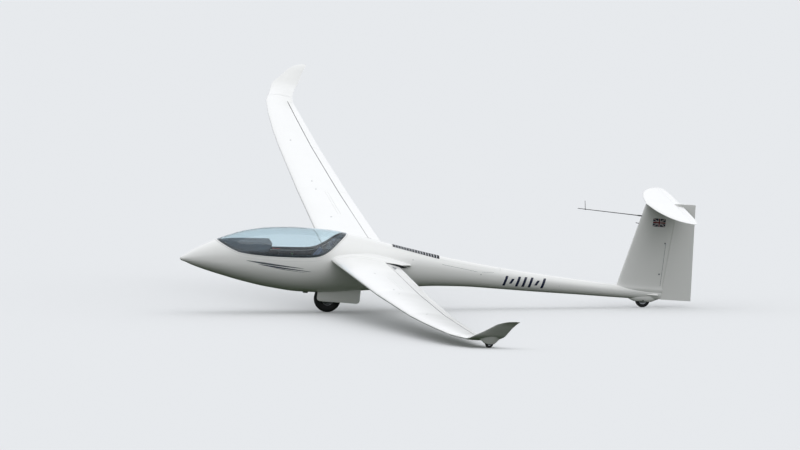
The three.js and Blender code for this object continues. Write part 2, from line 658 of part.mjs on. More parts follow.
// Main gear leg: two side arms, a brace and three cross tubes, the lowest of which is the axle.
function gearLeg() {
  const armIn = mainWheel.width / 2 + clearance + 3;
  const armOut = armIn + 13;
  const strip = (x0, z0, x1, z1, wide) => {
    const along = new THREE.Vector2(x1 - x0, z1 - z0).normalize().multiplyScalar(wide / 2);
    return [
      [x0 - along.y, z0 + along.x], [x0 + along.y, z0 - along.x],
      [x1 + along.y, z1 - along.x], [x1 - along.y, z1 + along.x],
    ];
  };
  const reach = gearWell.half - seam;
  const side = (sign) => {
    const [y0, y1] = sign > 0 ? [armIn, armOut] : [-armOut, -armIn];
    return join(
      plate(strip(gearPivot.x, gearPivot.z, mainWheel.x, mainWheel.z, 52), y0, y1),
      plate(strip(gearBrace.x, gearBrace.z, 2150, -276, 26), y0, y1),
      bar(V(mainWheel.x, y0, mainWheel.z), V(mainWheel.x, y1, mainWheel.z), 30, 30, 20),
      bar(V(gearPivot.x, y0, gearPivot.z), V(gearPivot.x, y1, gearPivot.z), 30, 30, 16),
    );
  };
  return join(
    side(1), side(-1),
    crossBar(gearPivot.x, gearPivot.z, reach, 16, 16),
    crossBar(gearBrace.x, gearBrace.z, reach, 12, 16),
    crossBar(mainWheel.x, mainWheel.z, armOut + 6, mainWheel.axle, 30),
  );
}

const tailSlotHalf = tailWheel.width / 2 + clearance;
const tailSlotLong = tailWheel.ring + tailWheel.tube + clearance + 2;
const tailSlot = box(
  tailWheel.x - tailSlotLong, tailWheel.x + tailSlotLong, -tailSlotHalf, tailSlotHalf, -220, 24,
);
const tailAxleRoom = crossBar(tailWheel.x, tailWheel.z, 60, tailWheel.axle + seam, 22);

// A wheel pod: a smooth bump with a slot for the wheel and an axle across the slot.
function tailFairing() {
  const table = [
    { x: 6070, low: -78, half: 8 }, { x: 6120, low: -98, half: 36 }, { x: 6190, low: -116, half: 46 },
    { x: 6330, low: -116, half: 46 }, { x: 6400, low: -94, half: 32 }, { x: 6450, low: -70, half: 8 },
  ];
  const ring = (row) => Array.from({ length: 16 }, (_, k) => {
    const angle = (2 * Math.PI * k) / 16;
    return V(row.x, row.half * Math.sin(angle), -40 + (-40 - row.low) * Math.cos(angle));
  });
  const pod = loft(table.map(ring)).subtract(outerSeam).subtract(tailSlot);
  return pod.add(crossBar(tailWheel.x, tailWheel.z, 36, tailWheel.axle, 22));
}

function tipFairing() {
  const ring = (row) => Array.from({ length: 12 }, (_, k) => {
    const angle = (2 * Math.PI * k) / 12;
    const middle = 905;
    return V(row.x, tipWheel.y + row.half * Math.sin(angle), middle + (middle - row.low) * Math.cos(angle));
  });
  const slotHalf = tipWheel.width / 2 + clearance;
  const slot = box(
    tipWheel.x - 56, tipWheel.x + 56, tipWheel.y - slotHalf, tipWheel.y + slotHalf, 780, tipWheel.z + 55,
  );
  const pod = loft(tipFairingTable.map(ring));
  const axleEnd = (side) => V(tipWheel.x, tipWheel.y + side * 21, tipWheel.z);
  const axle = bar(axleEnd(-1), axleEnd(1), tipWheel.axle, tipWheel.axle, 16);
  return { pod, slot, axle };
}

// Canopy
const innerEdge = canopyRegion(clearance);
const glass = outer.intersect(innerEdge).subtract(fuselageBody(-glassWall, 20, 2600));
const frameBlank = fuselageBody(-glassWall - seam, 20, 2600)
  .intersect(innerEdge)
  .subtract(canopyRegion(clearance + frameBand));
const frameRing = frameBlank.subtract(fuselageBody(-frameDepth, 30, 2590));

function cowlRing(row, grow) {
  const points = 20;
  return Array.from({ length: points }, (_, k) => {
    const angle = (2 * Math.PI * k) / points;
    const squash = (v) => Math.sign(v) * Math.abs(v) ** 0.45;
    const middle = (row.top + row.bottom) / 2;
    const tall = (row.top - row.bottom) / 2 + grow;
    return V(row.x, (row.half + grow) * squash(Math.sin(angle)), middle + tall * squash(Math.cos(angle)));
  });
}
const cowlInside = (wall) => loft(cowlTable.map((row, i) => (
  cowlRing({ ...row, x: row.x + (i ? 20 : 30), bottom: row.bottom - 60 }, -wall)
)));
const cowlRearFace = plate([[1168, 308], [1172, 400], [1400, 400], [1400, 0], [1055, 0]], -300, 300);
const cowlSolid = cut(loft(cowlTable.map((row) => cowlRing(row, 0))), cowlInside(8), cowlRearFace);

function panelSolid() {
  const outline = [
    [-204, 0], [-204, 160], [204, 160], [204, 0], [180, -20], [112, -60], [100, -170],
    [-100, -170], [-112, -60], [-180, -20],
  ];
  const shape = new THREE.Shape(outline.map(([across, height]) => new THREE.Vector2(across, height)));
  const geometry = new THREE.ExtrudeGeometry(shape, { depth: 10, bevelEnabled: false });
  const lean = Math.atan2(1168 - 1055, 308);
  const rise = V(Math.sin(lean), 0, Math.cos(lean));
  const face = V(Math.cos(lean), 0, -Math.sin(lean));
  const turn = new THREE.Matrix4().makeBasis(V(0, 1, 0), rise, face).setPosition(1122, 0, 180);
  const blank = place(geometry, turn);
  const low = box(1000, 1400, -182, 182, -100, 150);
  return blank.intersect(cowlInside(8 + seam)).add(blank.intersect(low));
}

function hingeArm(sign) {
  const { x, z, tube, armY, armThick } = canopyHinge;
  const y0 = sign * armY - armThick / 2;
  const y1 = sign * armY + armThick / 2;
  const outline = [
    [x - 10, z - 12], [x + 40, z - 46], [x + 200, z - 96], [x + 252, z - 96], [x + 278, z - 60],
    [x + 278, z + 84], [x + 254, z + 84], [x + 248, z - 50], [x + 208, z - 70], [x + 46, z - 16],
    [x + 12, z + 8],
  ];
  const boss = bar(V(x, y0, z), V(x, y1, z), 16, 16, 20);
  const bore = bar(V(x, y0 - 5, z), V(x, y1 + 5, z), tube + pinClearance, tube + pinClearance, 20);
  return plate(outline, y0, y1).add(boss).subtract(bore);
}
const hingeBridge = box(554, 578, -66, 66, 222, 281)
  .add(box(554, 578, -190, 190, 269, 283))
  .intersect(fuselageBody(-glassWall - seam, 20, 2600));

// Cockpit pieces
function seatSide(grow) {
  const line = [
    [1120, -118], [1190, -190], [1290, -222], [1440, -224], [1520, -196], [1600, -120], [1730, 40],
    [1850, 190], [1905, 270],
  ];
  const curve = new THREE.SplineCurve(line.map(([x, z]) => new THREE.Vector2(x, z)));
  const steps = 14;
  const side = (offset) => Array.from({ length: steps + 1 }, (_, i) => {
    const point = curve.getPoint(i / steps);
    const tangent = curve.getTangent(i / steps);
    return [point.x - tangent.y * offset, point.y + tangent.x * offset];
  });
  return [...side(grow[0]), ...side(grow[1]).reverse()];
}

const seatRoom = fuselageBody(-shellWall - seam, 130, 2400);
const stickSlot = box(1000, 1310, -42, 42, -400, 0);

function stick() {
  const foot = V(1262, 0, -205);
  const knee = V(1240, 0, -60);
  const gripTop = V(1222, 0, 62);
  return join(
    bar(foot, knee, 11, 11, 12), bar(knee, gripTop, 17, 15, 12),
    bar(V(1268, 0, -310), V(1262, 0, -200), 38, 18, 16).intersect(seatRoom),
  );
}

// The dark shelf on the bulkhead behind the pilot's head, and the headrest on it.
const wallUp = V(highX - lowX, 0, highZ - lowZ).normalize();
const wallAhead = V(-wallUp.z, 0, wallUp.x);
const wallAt = (height, ahead) => V(beyond(height), 0, height).addScaledVector(wallAhead, ahead);
const rearShelf = slab(
  wallAt(240, seam), [wallUp, 0, 400], [sideways, -300, 300], [wallAhead, 0, shelfDepth],
).intersect(fuselageBody(-frameDepth - clearance, 130, 2500));
const headrest = slab(
  wallAt(330, 2 * seam + shelfDepth), [wallUp, -55, 55], [sideways, -85, 85], [wallAhead, 0, 46],
);

function pedals() {
  const { x, z, apart } = pedalBar;
  const side = (sign) => box(x - 14, x - 5, sign * apart - 42, sign * apart + 42, z - 48, z + 62);
  return join(crossBar(x, z, 220, 8, 10), side(1), side(-1));
}

const frontShell = cut(outer.intersect(box(-50, frontSplit, -400, 400, -400, 600)), hollow, canopyOpening);
const hingeTube = crossBar(canopyHinge.x, canopyHinge.z, 110, canopyHinge.tube, 20)
  .intersect(fuselageBody(-shellWall + 4, 20, 2400));

const centreBlank = join(outer, starboardRoot, mirrored(starboardRoot))
  .intersect(box(frontSplit + seam, boomSplit, -600, 600, -400, 600));
const wingRootClear = box(0, 4000, 340 - seam / 2, 700, -400, 900);
const centreSection = join(
  cut(centreBlank, hollow, canopyOpening, well, bay, wingRootClear, mirrored(wingRootClear)),
  ...doorPins, ...doorPins.map(mirrored),
);

const boomSolid = cut(
  outer.intersect(box(boomSplit + seam, farAft, -400, 400, -400, 600)), rudderCut, tailSlot, tailAxleRoom,
);

const sideConsole = box(1215, 1640, 160, 330, 60, 96).intersect(seatRoom);
const towRelease = box(1680, 1752, -16, 16, -338, -290).subtract(outerSeam);
const engineBlock = box(3000, 4120, -44, 44, engineBay.floor + seam, 96);

// Materials, in the colours of the aircraft.
const finish = (color, roughness, metalness = 0) => (
  new THREE.MeshStandardMaterial({ color, roughness, metalness })
);
const gelcoat = finish(0xf2f3f4, 0.22);
const acrylic = new THREE.MeshStandardMaterial({
  color: 0xa8cbe0, roughness: 0.05, transparent: true, opacity: 0.35,
});
const darkTrim = finish(0x26313c, 0.6);
const greyTrim = finish(0x5d6f7d, 0.55);
const rubber = finish(0x17181a, 0.85);
const alloy = finish(0xb9bdc2, 0.35, 1);
const steel = finish(0x8a9096, 0.4, 1);
const cloth = finish(0x3b4a6a, 0.9);
const cells = finish(0x222a33, 0.25);

const airframe = new THREE.Group();
function add(name, solid, material) {
  const mesh = new THREE.Mesh(toGeometry(solid), material);
  mesh.name = name;
  airframe.add(mesh);
}
function addPair(name, solid, material) {
  add(`${name}_starboard`, solid, material);
  add(`${name}_port`, mirrored(solid), material);
}

add("cockpit_shell", join(frontShell, hingeTube), gelcoat);
add("centre_section", centreSection, gelcoat);
add("tail_boom", boomSolid, gelcoat);
add("fin", finSolid, gelcoat);
add("rudder", rudderSolid, gelcoat);
add("tailplane", tailplaneSolid, gelcoat);
add("elevator", elevatorSolid, gelcoat);
addPair("wing", wingSolid, gelcoat);
for (const { name, surface } of surfaces) addPair(name, surface, gelcoat);
addPair("airbrake_upper", brakes.upper, gelcoat);
addPair("airbrake_lower", brakes.lower, gelcoat);

const tip = tipFairing();
addPair("winglet", cut(wingletBlank.add(tip.pod), tip.slot).add(tip.axle), gelcoat);
addPair("tip_wheel", join(tipParts.tyre, tipParts.hub), rubber);

addPair("engine_door", engineDoor, gelcoat);
addPair("solar_strip", solar, cells);
add("engine_block", engineBlock, steel);

add("main_tyre", mainParts.tyre, rubber);
add("main_hub", mainParts.hub, alloy);
add("main_gear_leg", gearLeg(), steel);
addPair("gear_door", gearDoorSolid, gelcoat);
add("tow_release", towRelease, steel);
add("tail_tyre", tailParts.tyre, rubber);
add("tail_hub", tailParts.hub, alloy);
add("tail_wheel_fairing", tailFairing(), gelcoat);

add("canopy_glass", glass, acrylic);
add("canopy_frame", join(frameRing, hingeArm(1), hingeArm(-1), hingeBridge), darkTrim);
add("instrument_cowl", cowlSolid, greyTrim);
add("instrument_panel", panelSolid(), darkTrim);

add("seat_pan", plate(seatSide([0, -12]), -215, 215).intersect(seatRoom).subtract(stickSlot), darkTrim);
add("seat_cushion", plate(seatSide([seam, 38]), -175, 175).intersect(seatRoom).subtract(stickSlot), cloth);
add("rear_shelf", rearShelf, darkTrim);
add("headrest", headrest, cloth);
add("rudder_pedals", pedals().intersect(seatRoom), steel);
add("control_stick", stick(), darkTrim);
addPair("side_console", sideConsole, greyTrim);

const probeRoot = V(probe.rootX, 0, probe.rootZ);
const probeTip = V(probe.tipX, 0, probe.tipZ);
const probeNear = probeRoot.clone().lerp(probeTip, 0.04);
add("tail_probe", join(
  bar(probeNear, probeRoot.clone().add(V(8, 0, 0)), 9, 9, 12).subtract(tailSeam),
  bar(probeTip, probeNear.clone().lerp(probeRoot, 0.3), probe.radius * 0.7, probe.radius, 10),
  bar(V(probe.postX, 0, probe.tipZ - 5), V(probe.postX - 16, 0, probe.postTop), 4, 3, 8),
), steel);
add("fin_pitot", bar(V(6052, 0, 953), V(6112, 0, 946), 5, 5, 10).subtract(tailSeam), steel);

// The parked stance: the ground plane touches the main, tail and port tip tyres.
function parkedUp() {
  const wheels = [mainWheel, tailWheel, { ...tipWheel, y: -tipWheel.y }];
  const centres = wheels.map((w) => V(w.x, w.y, w.z));
  const first = centres[1].clone().sub(centres[0]);
  const second = centres[2].clone().sub(centres[0]);
  const normal = first.clone().cross(second).normalize();
  let flat = 1;
  let found = normal;
  for (let pass = 0; pass < 12; pass += 1) {
    const radius = wheels.map((w) => w.ring * flat + w.tube);
    const rise = [radius[1] - radius[0], radius[2] - radius[0]];
    const aa = first.dot(first);
    const ab = first.dot(second);
    const bb = second.dot(second);
    const det = aa * bb - ab * ab;
    const p = (rise[0] * bb - rise[1] * ab) / det;
    const q = (rise[1] * aa - rise[0] * ab) / det;
    const inPlane = first.clone().multiplyScalar(p).addScaledVector(second, q);
    const sign = normal.z > 0 ? 1 : -1;
    found = inPlane.addScaledVector(normal, sign * Math.sqrt(1 - inPlane.lengthSq()));
    flat = Math.sqrt(1 - found.y ** 2);
  }
  return found;
}

const parked = new THREE.Group();
const groundUp = parkedUp();
const aft = V(1, 0, 0).addScaledVector(groundUp, -groundUp.x).normalize();
const starboard = groundUp.clone().cross(aft);
const stance = new THREE.Matrix4().makeBasis(aft, starboard, groundUp).transpose();
airframe.applyMatrix4(stance);
parked.add(airframe);
parked.updateMatrixWorld(true);

// The origin is on the ground, under the middle of the aircraft's bounding box.
const bounds = new THREE.Box3().setFromObject(parked, true);
airframe.position.set(
  -(bounds.min.x + bounds.max.x) / 2, -(bounds.min.y + bounds.max.y) / 2, -bounds.min.z,
);

export default parked;
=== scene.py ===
# A single-seat 18 metre sailplane with a T-tail, parked on its gear, dressed for its final render.
# Sizes are in metres in the airframe's own frame: X aft from the nose tip, Y to starboard, Z up.
# Every piece is made there, and then turned into the stance in which the aircraft stands parked.
from math import acos, asin, atan2, copysign, cos, exp, pi, radians, sin, sqrt

import bmesh
import bpy
from mathutils import Matrix, Vector
from mathutils.kdtree import KDTree


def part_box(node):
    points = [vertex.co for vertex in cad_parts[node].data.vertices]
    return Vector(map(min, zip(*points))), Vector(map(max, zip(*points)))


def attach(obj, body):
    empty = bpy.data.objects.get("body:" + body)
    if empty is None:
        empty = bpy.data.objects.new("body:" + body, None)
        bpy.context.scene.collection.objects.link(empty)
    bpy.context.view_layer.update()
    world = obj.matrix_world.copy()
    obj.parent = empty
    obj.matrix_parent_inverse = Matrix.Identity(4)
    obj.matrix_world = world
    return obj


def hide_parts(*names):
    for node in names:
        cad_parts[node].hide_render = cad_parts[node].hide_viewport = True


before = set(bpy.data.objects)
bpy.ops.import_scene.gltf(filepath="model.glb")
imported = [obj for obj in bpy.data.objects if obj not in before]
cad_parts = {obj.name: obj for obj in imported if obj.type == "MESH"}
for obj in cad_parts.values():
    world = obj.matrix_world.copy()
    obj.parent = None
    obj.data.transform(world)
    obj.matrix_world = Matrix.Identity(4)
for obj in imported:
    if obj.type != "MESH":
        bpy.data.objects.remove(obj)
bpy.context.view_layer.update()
bpy.ops.object.select_all(action="DESELECT")
print("frame loaded")

tyreCentres = {
    "main_tyre": Vector((2.02, 0, -0.39)),
    "tail_tyre": Vector((6.264, 0, -0.083)),
    "tip_wheel_port": Vector((2.592, -8.7, 0.882)),
}


# Three tyre centres, known in the airframe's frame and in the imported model, give the parked stance.
def axesThrough(origin, aft, side):
    along = (aft - origin).normalized()
    square = along.cross(side - origin).normalized()
    return Matrix((along, square.cross(along), square)).transposed()


standing = {name: sum(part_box(name), Vector()) / 2 for name in tyreCentres}
turn = axesThrough(*standing.values()) @ axesThrough(*tyreCentres.values()).transposed()
stance = (
    Matrix.Translation(standing["main_tyre"])
    @ turn.to_4x4()
    @ Matrix.Translation(-tyreCentres["main_tyre"])
)
starboard = Vector((0, 1, 0))
upward = Vector((0, 0, 1))


# Camera and stage
cameraView = {
    "target": Vector((3.4, 0, 0)),
    "aimOffset": (-0.432, 0.699),  # how far the frame's middle lies right of and above the target
    "azimuth": -0.17728604,
    "elevation": 0.17881931,
    "roll": 0.10947018,
    "distance": 112.019,
    "lens": 379.5,
    "clipEnd": 4000,
}


def makeCamera():
    view = cameraView
    azimuth, elevation = view["azimuth"], view["elevation"]
    back = Vector((
        sin(azimuth) * cos(elevation),
        -cos(azimuth) * cos(elevation),
        sin(elevation),
    ))
    right = (-back).cross(upward).normalized()
    above = right.cross(-back)
    rolled = Matrix.Rotation(view["roll"], 3, back)
    right, above = rolled @ right, rolled @ above
    spot = view["target"] + view["aimOffset"][0] * right + view["aimOffset"][1] * above
    spot = spot + back * view["distance"]
    axes = Matrix((right, above, back)).transposed().to_4x4()
    bpy.ops.object.camera_add()
    camera = bpy.context.object
    camera.matrix_world = stance @ Matrix.Translation(spot) @ axes
    camera.data.lens = view["lens"]
    camera.data.clip_start = 1
    camera.data.clip_end = view["clipEnd"]
    bpy.context.scene.camera = camera


makeCamera()


def linearColour(code):
    values = [int(code[i:i + 2], 16) / 255 for i in (1, 3, 5)]
    return (*[v / 12.92 if v <= 0.04045 else ((v + 0.055) / 1.055) ** 2.4 for v in values], 1)


def addNode(tree, kind, inputs=None, **settings):
    made = tree.nodes.new(kind)
    for name, value in settings.items():
        setattr(made, name, value)
    for name, value in (inputs or {}).items():
        socket = made.inputs[name]
        if isinstance(value, bpy.types.NodeSocket):
            tree.links.new(value, socket)
        else:
            socket.default_value = value
    return made


lighting = {
    "sky": "#F6F8FC",
    "ground": "#3E4A38",
    "backdrop": "#E3E6E9",
    "zenithStrength": 0.93,
    "horizonStrength": 1.2,
    "groundStrength": 0.5,
    "horizonHeight": 0.13,
    "horizonSoftness": 0.14,
    "sunToward": (-0.2, 0.58, -0.72),
    "sunStrength": 0.5,
    "sunAngle": 50,
    "floorColour": "#E3E4E4",
    "floorSize": 6000,
}


# One of two colours, or a blend of both by a share.
def blendColours(tree, share, low, high):
    return addNode(
        tree, "ShaderNodeMix", {"Factor": share, 6: low, 7: high}, data_type="RGBA",
    ).outputs[2]


def makeWorld():
    world = bpy.data.worlds.new("softStudio")
    bpy.context.scene.world = world
    world.use_nodes = True
    tree = world.node_tree
    tree.nodes.clear()
    direction = addNode(tree, "ShaderNodeTexCoord").outputs["Generated"]
    height = addNode(tree, "ShaderNodeSeparateXYZ", {0: direction}).outputs["Z"]
    rise, soft = lighting["horizonHeight"], lighting["horizonSoftness"]
    share = addNode(
        tree, "ShaderNodeMapRange",
        {"Value": height, "From Min": rise - soft, "From Max": rise + soft},
        interpolation_type="SMOOTHSTEP",
    ).outputs["Result"]
    low, high = (
        [c * lighting[key] for c in linearColour(lighting["sky"])]
        for key in ("horizonStrength", "zenithStrength")
    )
    sky = blendColours(tree, height, low, high)
    ground = [c * lighting["groundStrength"] for c in linearColour(lighting["ground"])]
    light = blendColours(tree, share, ground, sky)
    isCamera = addNode(tree, "ShaderNodeLightPath").outputs["Is Camera Ray"]
    seen = blendColours(tree, isCamera, light, linearColour(lighting["backdrop"]))
    background = addNode(tree, "ShaderNodeBackground", {"Color": seen})
    addNode(tree, "ShaderNodeOutputWorld", {"Surface": background.outputs[0]})


def makeStage():
    bpy.ops.mesh.primitive_plane_add(size=lighting["floorSize"])
    floor = bpy.context.object
    floor.name = "studio_floor"
    material = bpy.data.materials.new("paleStudioFloor")
    material.use_nodes = True
    tree = material.node_tree
    shader = tree.nodes["Principled BSDF"]
    shader.inputs["Base Color"].default_value = linearColour(lighting["floorColour"])
    shader.inputs["Roughness"].default_value = 1
    shader.inputs["Specular IOR Level"].default_value = 0
    # The floor's underside lets the view through, so that the belly can be looked at from below.
    clear = addNode(tree, "ShaderNodeBsdfTransparent")
    behind = addNode(tree, "ShaderNodeNewGeometry").outputs["Backfacing"]
    mixed = addNode(
        tree, "ShaderNodeMixShader", {0: behind, 1: shader.outputs[0], 2: clear.outputs[0]},
    )
    tree.links.new(mixed.outputs[0], tree.nodes["Material Output"].inputs["Surface"])
    floor.data.materials.append(material)
    floor.visible_diffuse = False
    floor.visible_glossy = False
    toward = Vector(lighting["sunToward"])
    bpy.ops.object.light_add(type="SUN", rotation=toward.to_track_quat("-Z", "Y").to_euler())
    sun = bpy.context.object
    sun.data.energy = lighting["sunStrength"]
    sun.data.angle = radians(lighting["sunAngle"])


makeWorld()
makeStage()
bpy.context.scene.view_settings.view_transform = "Standard"
print("camera and stage done")


# Modelling tools
def selectOnly(piece):
    bpy.ops.object.select_all(action="DESELECT")
    piece.select_set(True)
    bpy.context.view_layer.objects.active = piece


# A closed skin drawn through rings of points: a flat ring is extruded once for each section.
def loft(name, rings):
    bpy.ops.object.select_all(action="DESELECT")
    bpy.ops.mesh.primitive_circle_add(vertices=len(rings[0]), fill_type="NGON")
    piece = bpy.context.object
    piece.name = name
    bpy.ops.object.mode_set(mode="EDIT")
    mesh = bmesh.from_edit_mesh(piece.data)
    order = mesh.verts.layers.int.new("order")
    for number, vert in enumerate(mesh.verts):
        vert[order] = number
        vert.co = rings[0][number]
    for ring in rings[1:]:
        bpy.ops.mesh.extrude_region_move()
        mesh = bmesh.from_edit_mesh(piece.data)
        order = mesh.verts.layers.int["order"]
        for vert in mesh.verts:
            if vert.select:
                vert.co = ring[vert[order]]
    bpy.ops.mesh.select_all(action="SELECT")
    bpy.ops.mesh.normals_make_consistent(inside=False)
    bpy.ops.object.mode_set(mode="OBJECT")
    piece.data.attributes.remove(piece.data.attributes["order"])
    return piece


def boxTool(low, high):
    middle = (Vector(low) + Vector(high)) / 2
    bpy.ops.object.select_all(action="DESELECT")
    bpy.ops.mesh.primitive_cube_add(size=1, location=middle, scale=Vector(high) - Vector(low))
    bpy.ops.object.transform_apply(location=True, rotation=True, scale=True)
    return bpy.context.object


def applyModifier(piece, kind, **settings):
    selectOnly(piece)
    modifier = piece.modifiers.new(kind.lower(), kind)
    for name, value in settings.items():
        setattr(modifier, name, value)
    bpy.ops.object.modifier_apply(modifier=modifier.name)


def combine(piece, tool, operation, keep=False):
    applyModifier(piece, "BOOLEAN", operation=operation, object=tool, solver="MANIFOLD")
    if not keep:
        bpy.data.objects.remove(tool)
    return piece


def carve(piece, *tools):
    for tool in tools:
        combine(piece, tool, "DIFFERENCE")
    return piece


def keepInside(piece, tool):
    return combine(piece, tool, "INTERSECT")


def weld(piece, *others):
    for other in others:
        combine(piece, other, "UNION")
    return piece


def joined(name, pieces):
    bpy.ops.object.select_all(action="DESELECT")
    for piece in pieces:
        piece.select_set(True)
    bpy.context.view_layer.objects.active = pieces[0]
    bpy.ops.object.join()
    pieces[0].name = name
    return pieces[0]


def softenEdges(piece, width, segments=2, angle=40):
    applyModifier(
        piece, "BEVEL", width=width, segments=segments, limit_method="ANGLE",
        angle_limit=radians(angle),
    )
    return piece


def circle(count):
    return steps(0, 2 * pi, count)[:-1]


# The two ends of a bar that lies across the aircraft.
def barEnds(spot, start, end):
    return spot + starboard * start, spot + starboard * end


# A round bar or cone between two points, its edges bevelled.
def addTube(name, start, end, radius, endRadius=None, sides=24, edge=0):
    start, end = Vector(start), Vector(end)
    along = end - start
    bpy.ops.object.select_all(action="DESELECT")
    bpy.ops.mesh.primitive_cone_add(
        vertices=sides, radius1=radius, radius2=radius if endRadius is None else endRadius,
        depth=along.length, location=(start + end) / 2,
        rotation=along.to_track_quat("Z", "Y").to_euler(),
    )
    bpy.ops.object.transform_apply(location=True, rotation=True, scale=True)
    piece = bpy.context.object
    piece.name = name
    return softenEdges(piece, edge, angle=50) if edge else piece


# A pipe of round section through a line of points, its radius read along the way.
def addPipe(name, points, radiusAt, sides=16):
    rings = []
    last = len(points) - 1
    side = None
    for i, point in enumerate(points):
        along = (points[min(i + 1, last)] - points[max(i - 1, 0)]).normalized()
        if side is None:
            side = along.orthogonal().normalized()
        side = (side - along * side.dot(along)).normalized()
        up = along.cross(side)
        radius = radiusAt(i / last)
        rings.append([
            point + (side * cos(a) + up * sin(a)) * radius
            for a in circle(sides)
        ])
    return loft(name, rings)


# A smooth line through a few points.
def smoothLine(points, count):
    points = [Vector(p) for p in points]
    line = []
    for i in range(count + 1):
        spot = i / count * (len(points) - 1)
        k = min(int(spot), len(points) - 2)
        t = spot - k
        b, c = points[k], points[k + 1]
        a = points[k - 1] if k else b * 2 - c
        d = points[k + 2] if k + 2 < len(points) else c * 2 - b
        bend, twist = a * 2 - b * 5 + c * 4 - d, b * 3 - a - c * 3 + d
        line.append((b * 2 + (c - a) * t + bend * t**2 + twist * t**3) / 2)
    return line


# The outline of a flat link with round ends.
def linkOutline(a, b, radiusA, radiusB, count=12):
    heading = atan2(b[1] - a[1], b[0] - a[0])
    quarter = pi / 2
    ends = ((b, radiusB, heading - quarter), (a, radiusA, heading + quarter))
    return [
        (end[0] + radius * cos(t), end[1] + radius * sin(t))
        for end, radius, first in ends for t in steps(first, first + pi, count)
    ]


# The outline of a flat plate with round corners.
def roundedOutline(low, high, radius, count=6):
    left, right = low[0] + radius, high[0] - radius
    bottom, top = low[1] + radius, high[1] - radius
    corners = ((right, top), (left, top), (left, bottom), (right, bottom))
    return [
        (x + radius * cos(t), z + radius * sin(t))
        for quarter, (x, z) in enumerate(corners)
        for t in steps(quarter * pi / 2, (quarter + 1) * pi / 2, count)
    ]


def copyOf(piece, name):
    made = piece.copy()
    made.data = piece.data.copy()
    made.name = name
    bpy.context.collection.objects.link(made)
    return made


def mirrored(piece, name):
    made = copyOf(piece, name)
    made.data.transform(Matrix.Scale(-1, 4, starboard))
    made.data.flip_normals()
    return made


# The last step for each piece: smooth shading, its finish, its body, and the stance it stands in.
def dress(piece, material, *replaced, body="airframe", slot=None, smooth=30):
    selectOnly(piece)
    bpy.ops.object.shade_smooth_by_angle(angle=radians(smooth))
    piece.data.transform(stance)
    piece.data.materials.clear()
    piece.data.materials.append(material)
    slot or slotOf[material.name]
    if replaced:
        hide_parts(*replaced)
    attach(piece, body)


# A starboard piece and its mirror image: SIDE in a name stands for either side.
def bothSides(piece, material, *replaced, body="airframe"):
    name = piece.name if "SIDE" in piece.name else piece.name + "_SIDE"
    port = mirrored(piece, name.replace("SIDE", "port"))
    piece.name = name.replace("SIDE", "starboard")
    for side, made in (("starboard", piece), ("port", port)):
        nodes = [node.replace("SIDE", side) for node in replaced]
        dress(made, material, *nodes, body=body.replace("SIDE", side))


# A value read from a table column by a smooth curve that never overshoots.
def column(table, key):
    xs = [row[0] for row in table]
    ys = [row[key] for row in table]
    slopes = [(ys[i + 1] - ys[i]) / (xs[i + 1] - xs[i]) for i in range(len(xs) - 1)]
    tangents = [slopes[0]]
    for before, after in zip(slopes, slopes[1:]):
        tangents.append(2 * before * after / (before + after) if before * after > 0 else 0)
    tangents.append(slopes[-1])

    def at(x):
        i = max(0, min(len(xs) - 2, sum(1 for v in xs if v <= x) - 1))
        h = xs[i + 1] - xs[i]
        t = (x - xs[i]) / h
        low = ys[i] * (2 * t**3 - 3 * t**2 + 1) + tangents[i] * h * (t**3 - 2 * t**2 + t)
        return low + ys[i + 1] * (3 * t**2 - 2 * t**3) + tangents[i + 1] * h * (t**3 - t**2)

    return at


def straight(table, key):
    def at(x):
        for low, high in zip(table, table[1:]):
            if x <= high[0] or high is table[-1]:
                return low[key] + (high[key] - low[key]) * (x - low[0]) / (high[0] - low[0])

    return at


def steps(start, end, count):
    return [start + (end - start) * i / count for i in range(count + 1)]


# Materials
slotOf = {}


def newMaterial(name, slot):
    material = bpy.data.materials.new(name)
    material.use_nodes = True
    slotOf[name] = slot
    return material, material.node_tree, material.node_tree.nodes["Principled BSDF"]


def objectPlace(tree):
    return addNode(tree, "ShaderNodeTexCoord").outputs["Object"]


def setSockets(shader, sockets):
    for name, value in sockets.items():
        if isinstance(value, bpy.types.NodeSocket):
            shader.id_data.links.new(value, shader.inputs[name])
        else:
            shader.inputs[name].default_value = value


def addNoise(tree, place, scale, detail):
    inputs = {"Vector": place, "Scale": scale, "Detail": detail}
    return addNode(tree, "ShaderNodeTexNoise", inputs).outputs["Fac"]


def addRange(tree, value, **limits):
    inputs = {"Value": value, **{name.replace("_", " "): limit for name, limit in limits.items()}}
    return addNode(tree, "ShaderNodeMapRange", inputs).outputs["Result"]


def addBump(tree, height, distance, strength=1):
    inputs = {"Height": height, "Distance": distance, "Strength": strength}
    return addNode(tree, "ShaderNodeBump", inputs).outputs[0]


def makeGelcoat():
    # Polyester gelcoat, moulded and polished: white, glossy, faintly rippled in long reflections.
    material, tree, shader = newMaterial("whiteGelcoat", "gelcoat")
    place = objectPlace(tree)
    clouds = addNoise(tree, place, 1.3, 3)
    ripple = addNoise(tree, place, 9, 1)
    setSockets(shader, {
        "Base Color": blendColours(tree, clouds, linearColour("#F3F3F0"), linearColour("#F8F8F6")),
        "Roughness": addRange(tree, clouds, To_Min=0.22, To_Max=0.28),
        "Normal": addBump(tree, ripple, 0.00015, 0.15),
        "IOR": 1.5, "Coat Weight": 0.3, "Coat Roughness": 0.08,
    })
    return material


def makeAcrylic():
    # Blown acrylic sheet with a blue tint: clear, glossy on both faces.
    material, tree, shader = newMaterial("blueAcrylic", "acrylic")
    setSockets(shader, {
        "Base Color": linearColour("#E4F1F6"), "Roughness": 0.01, "IOR": 1.49,
        "Transmission Weight": 1,
    })
    return material


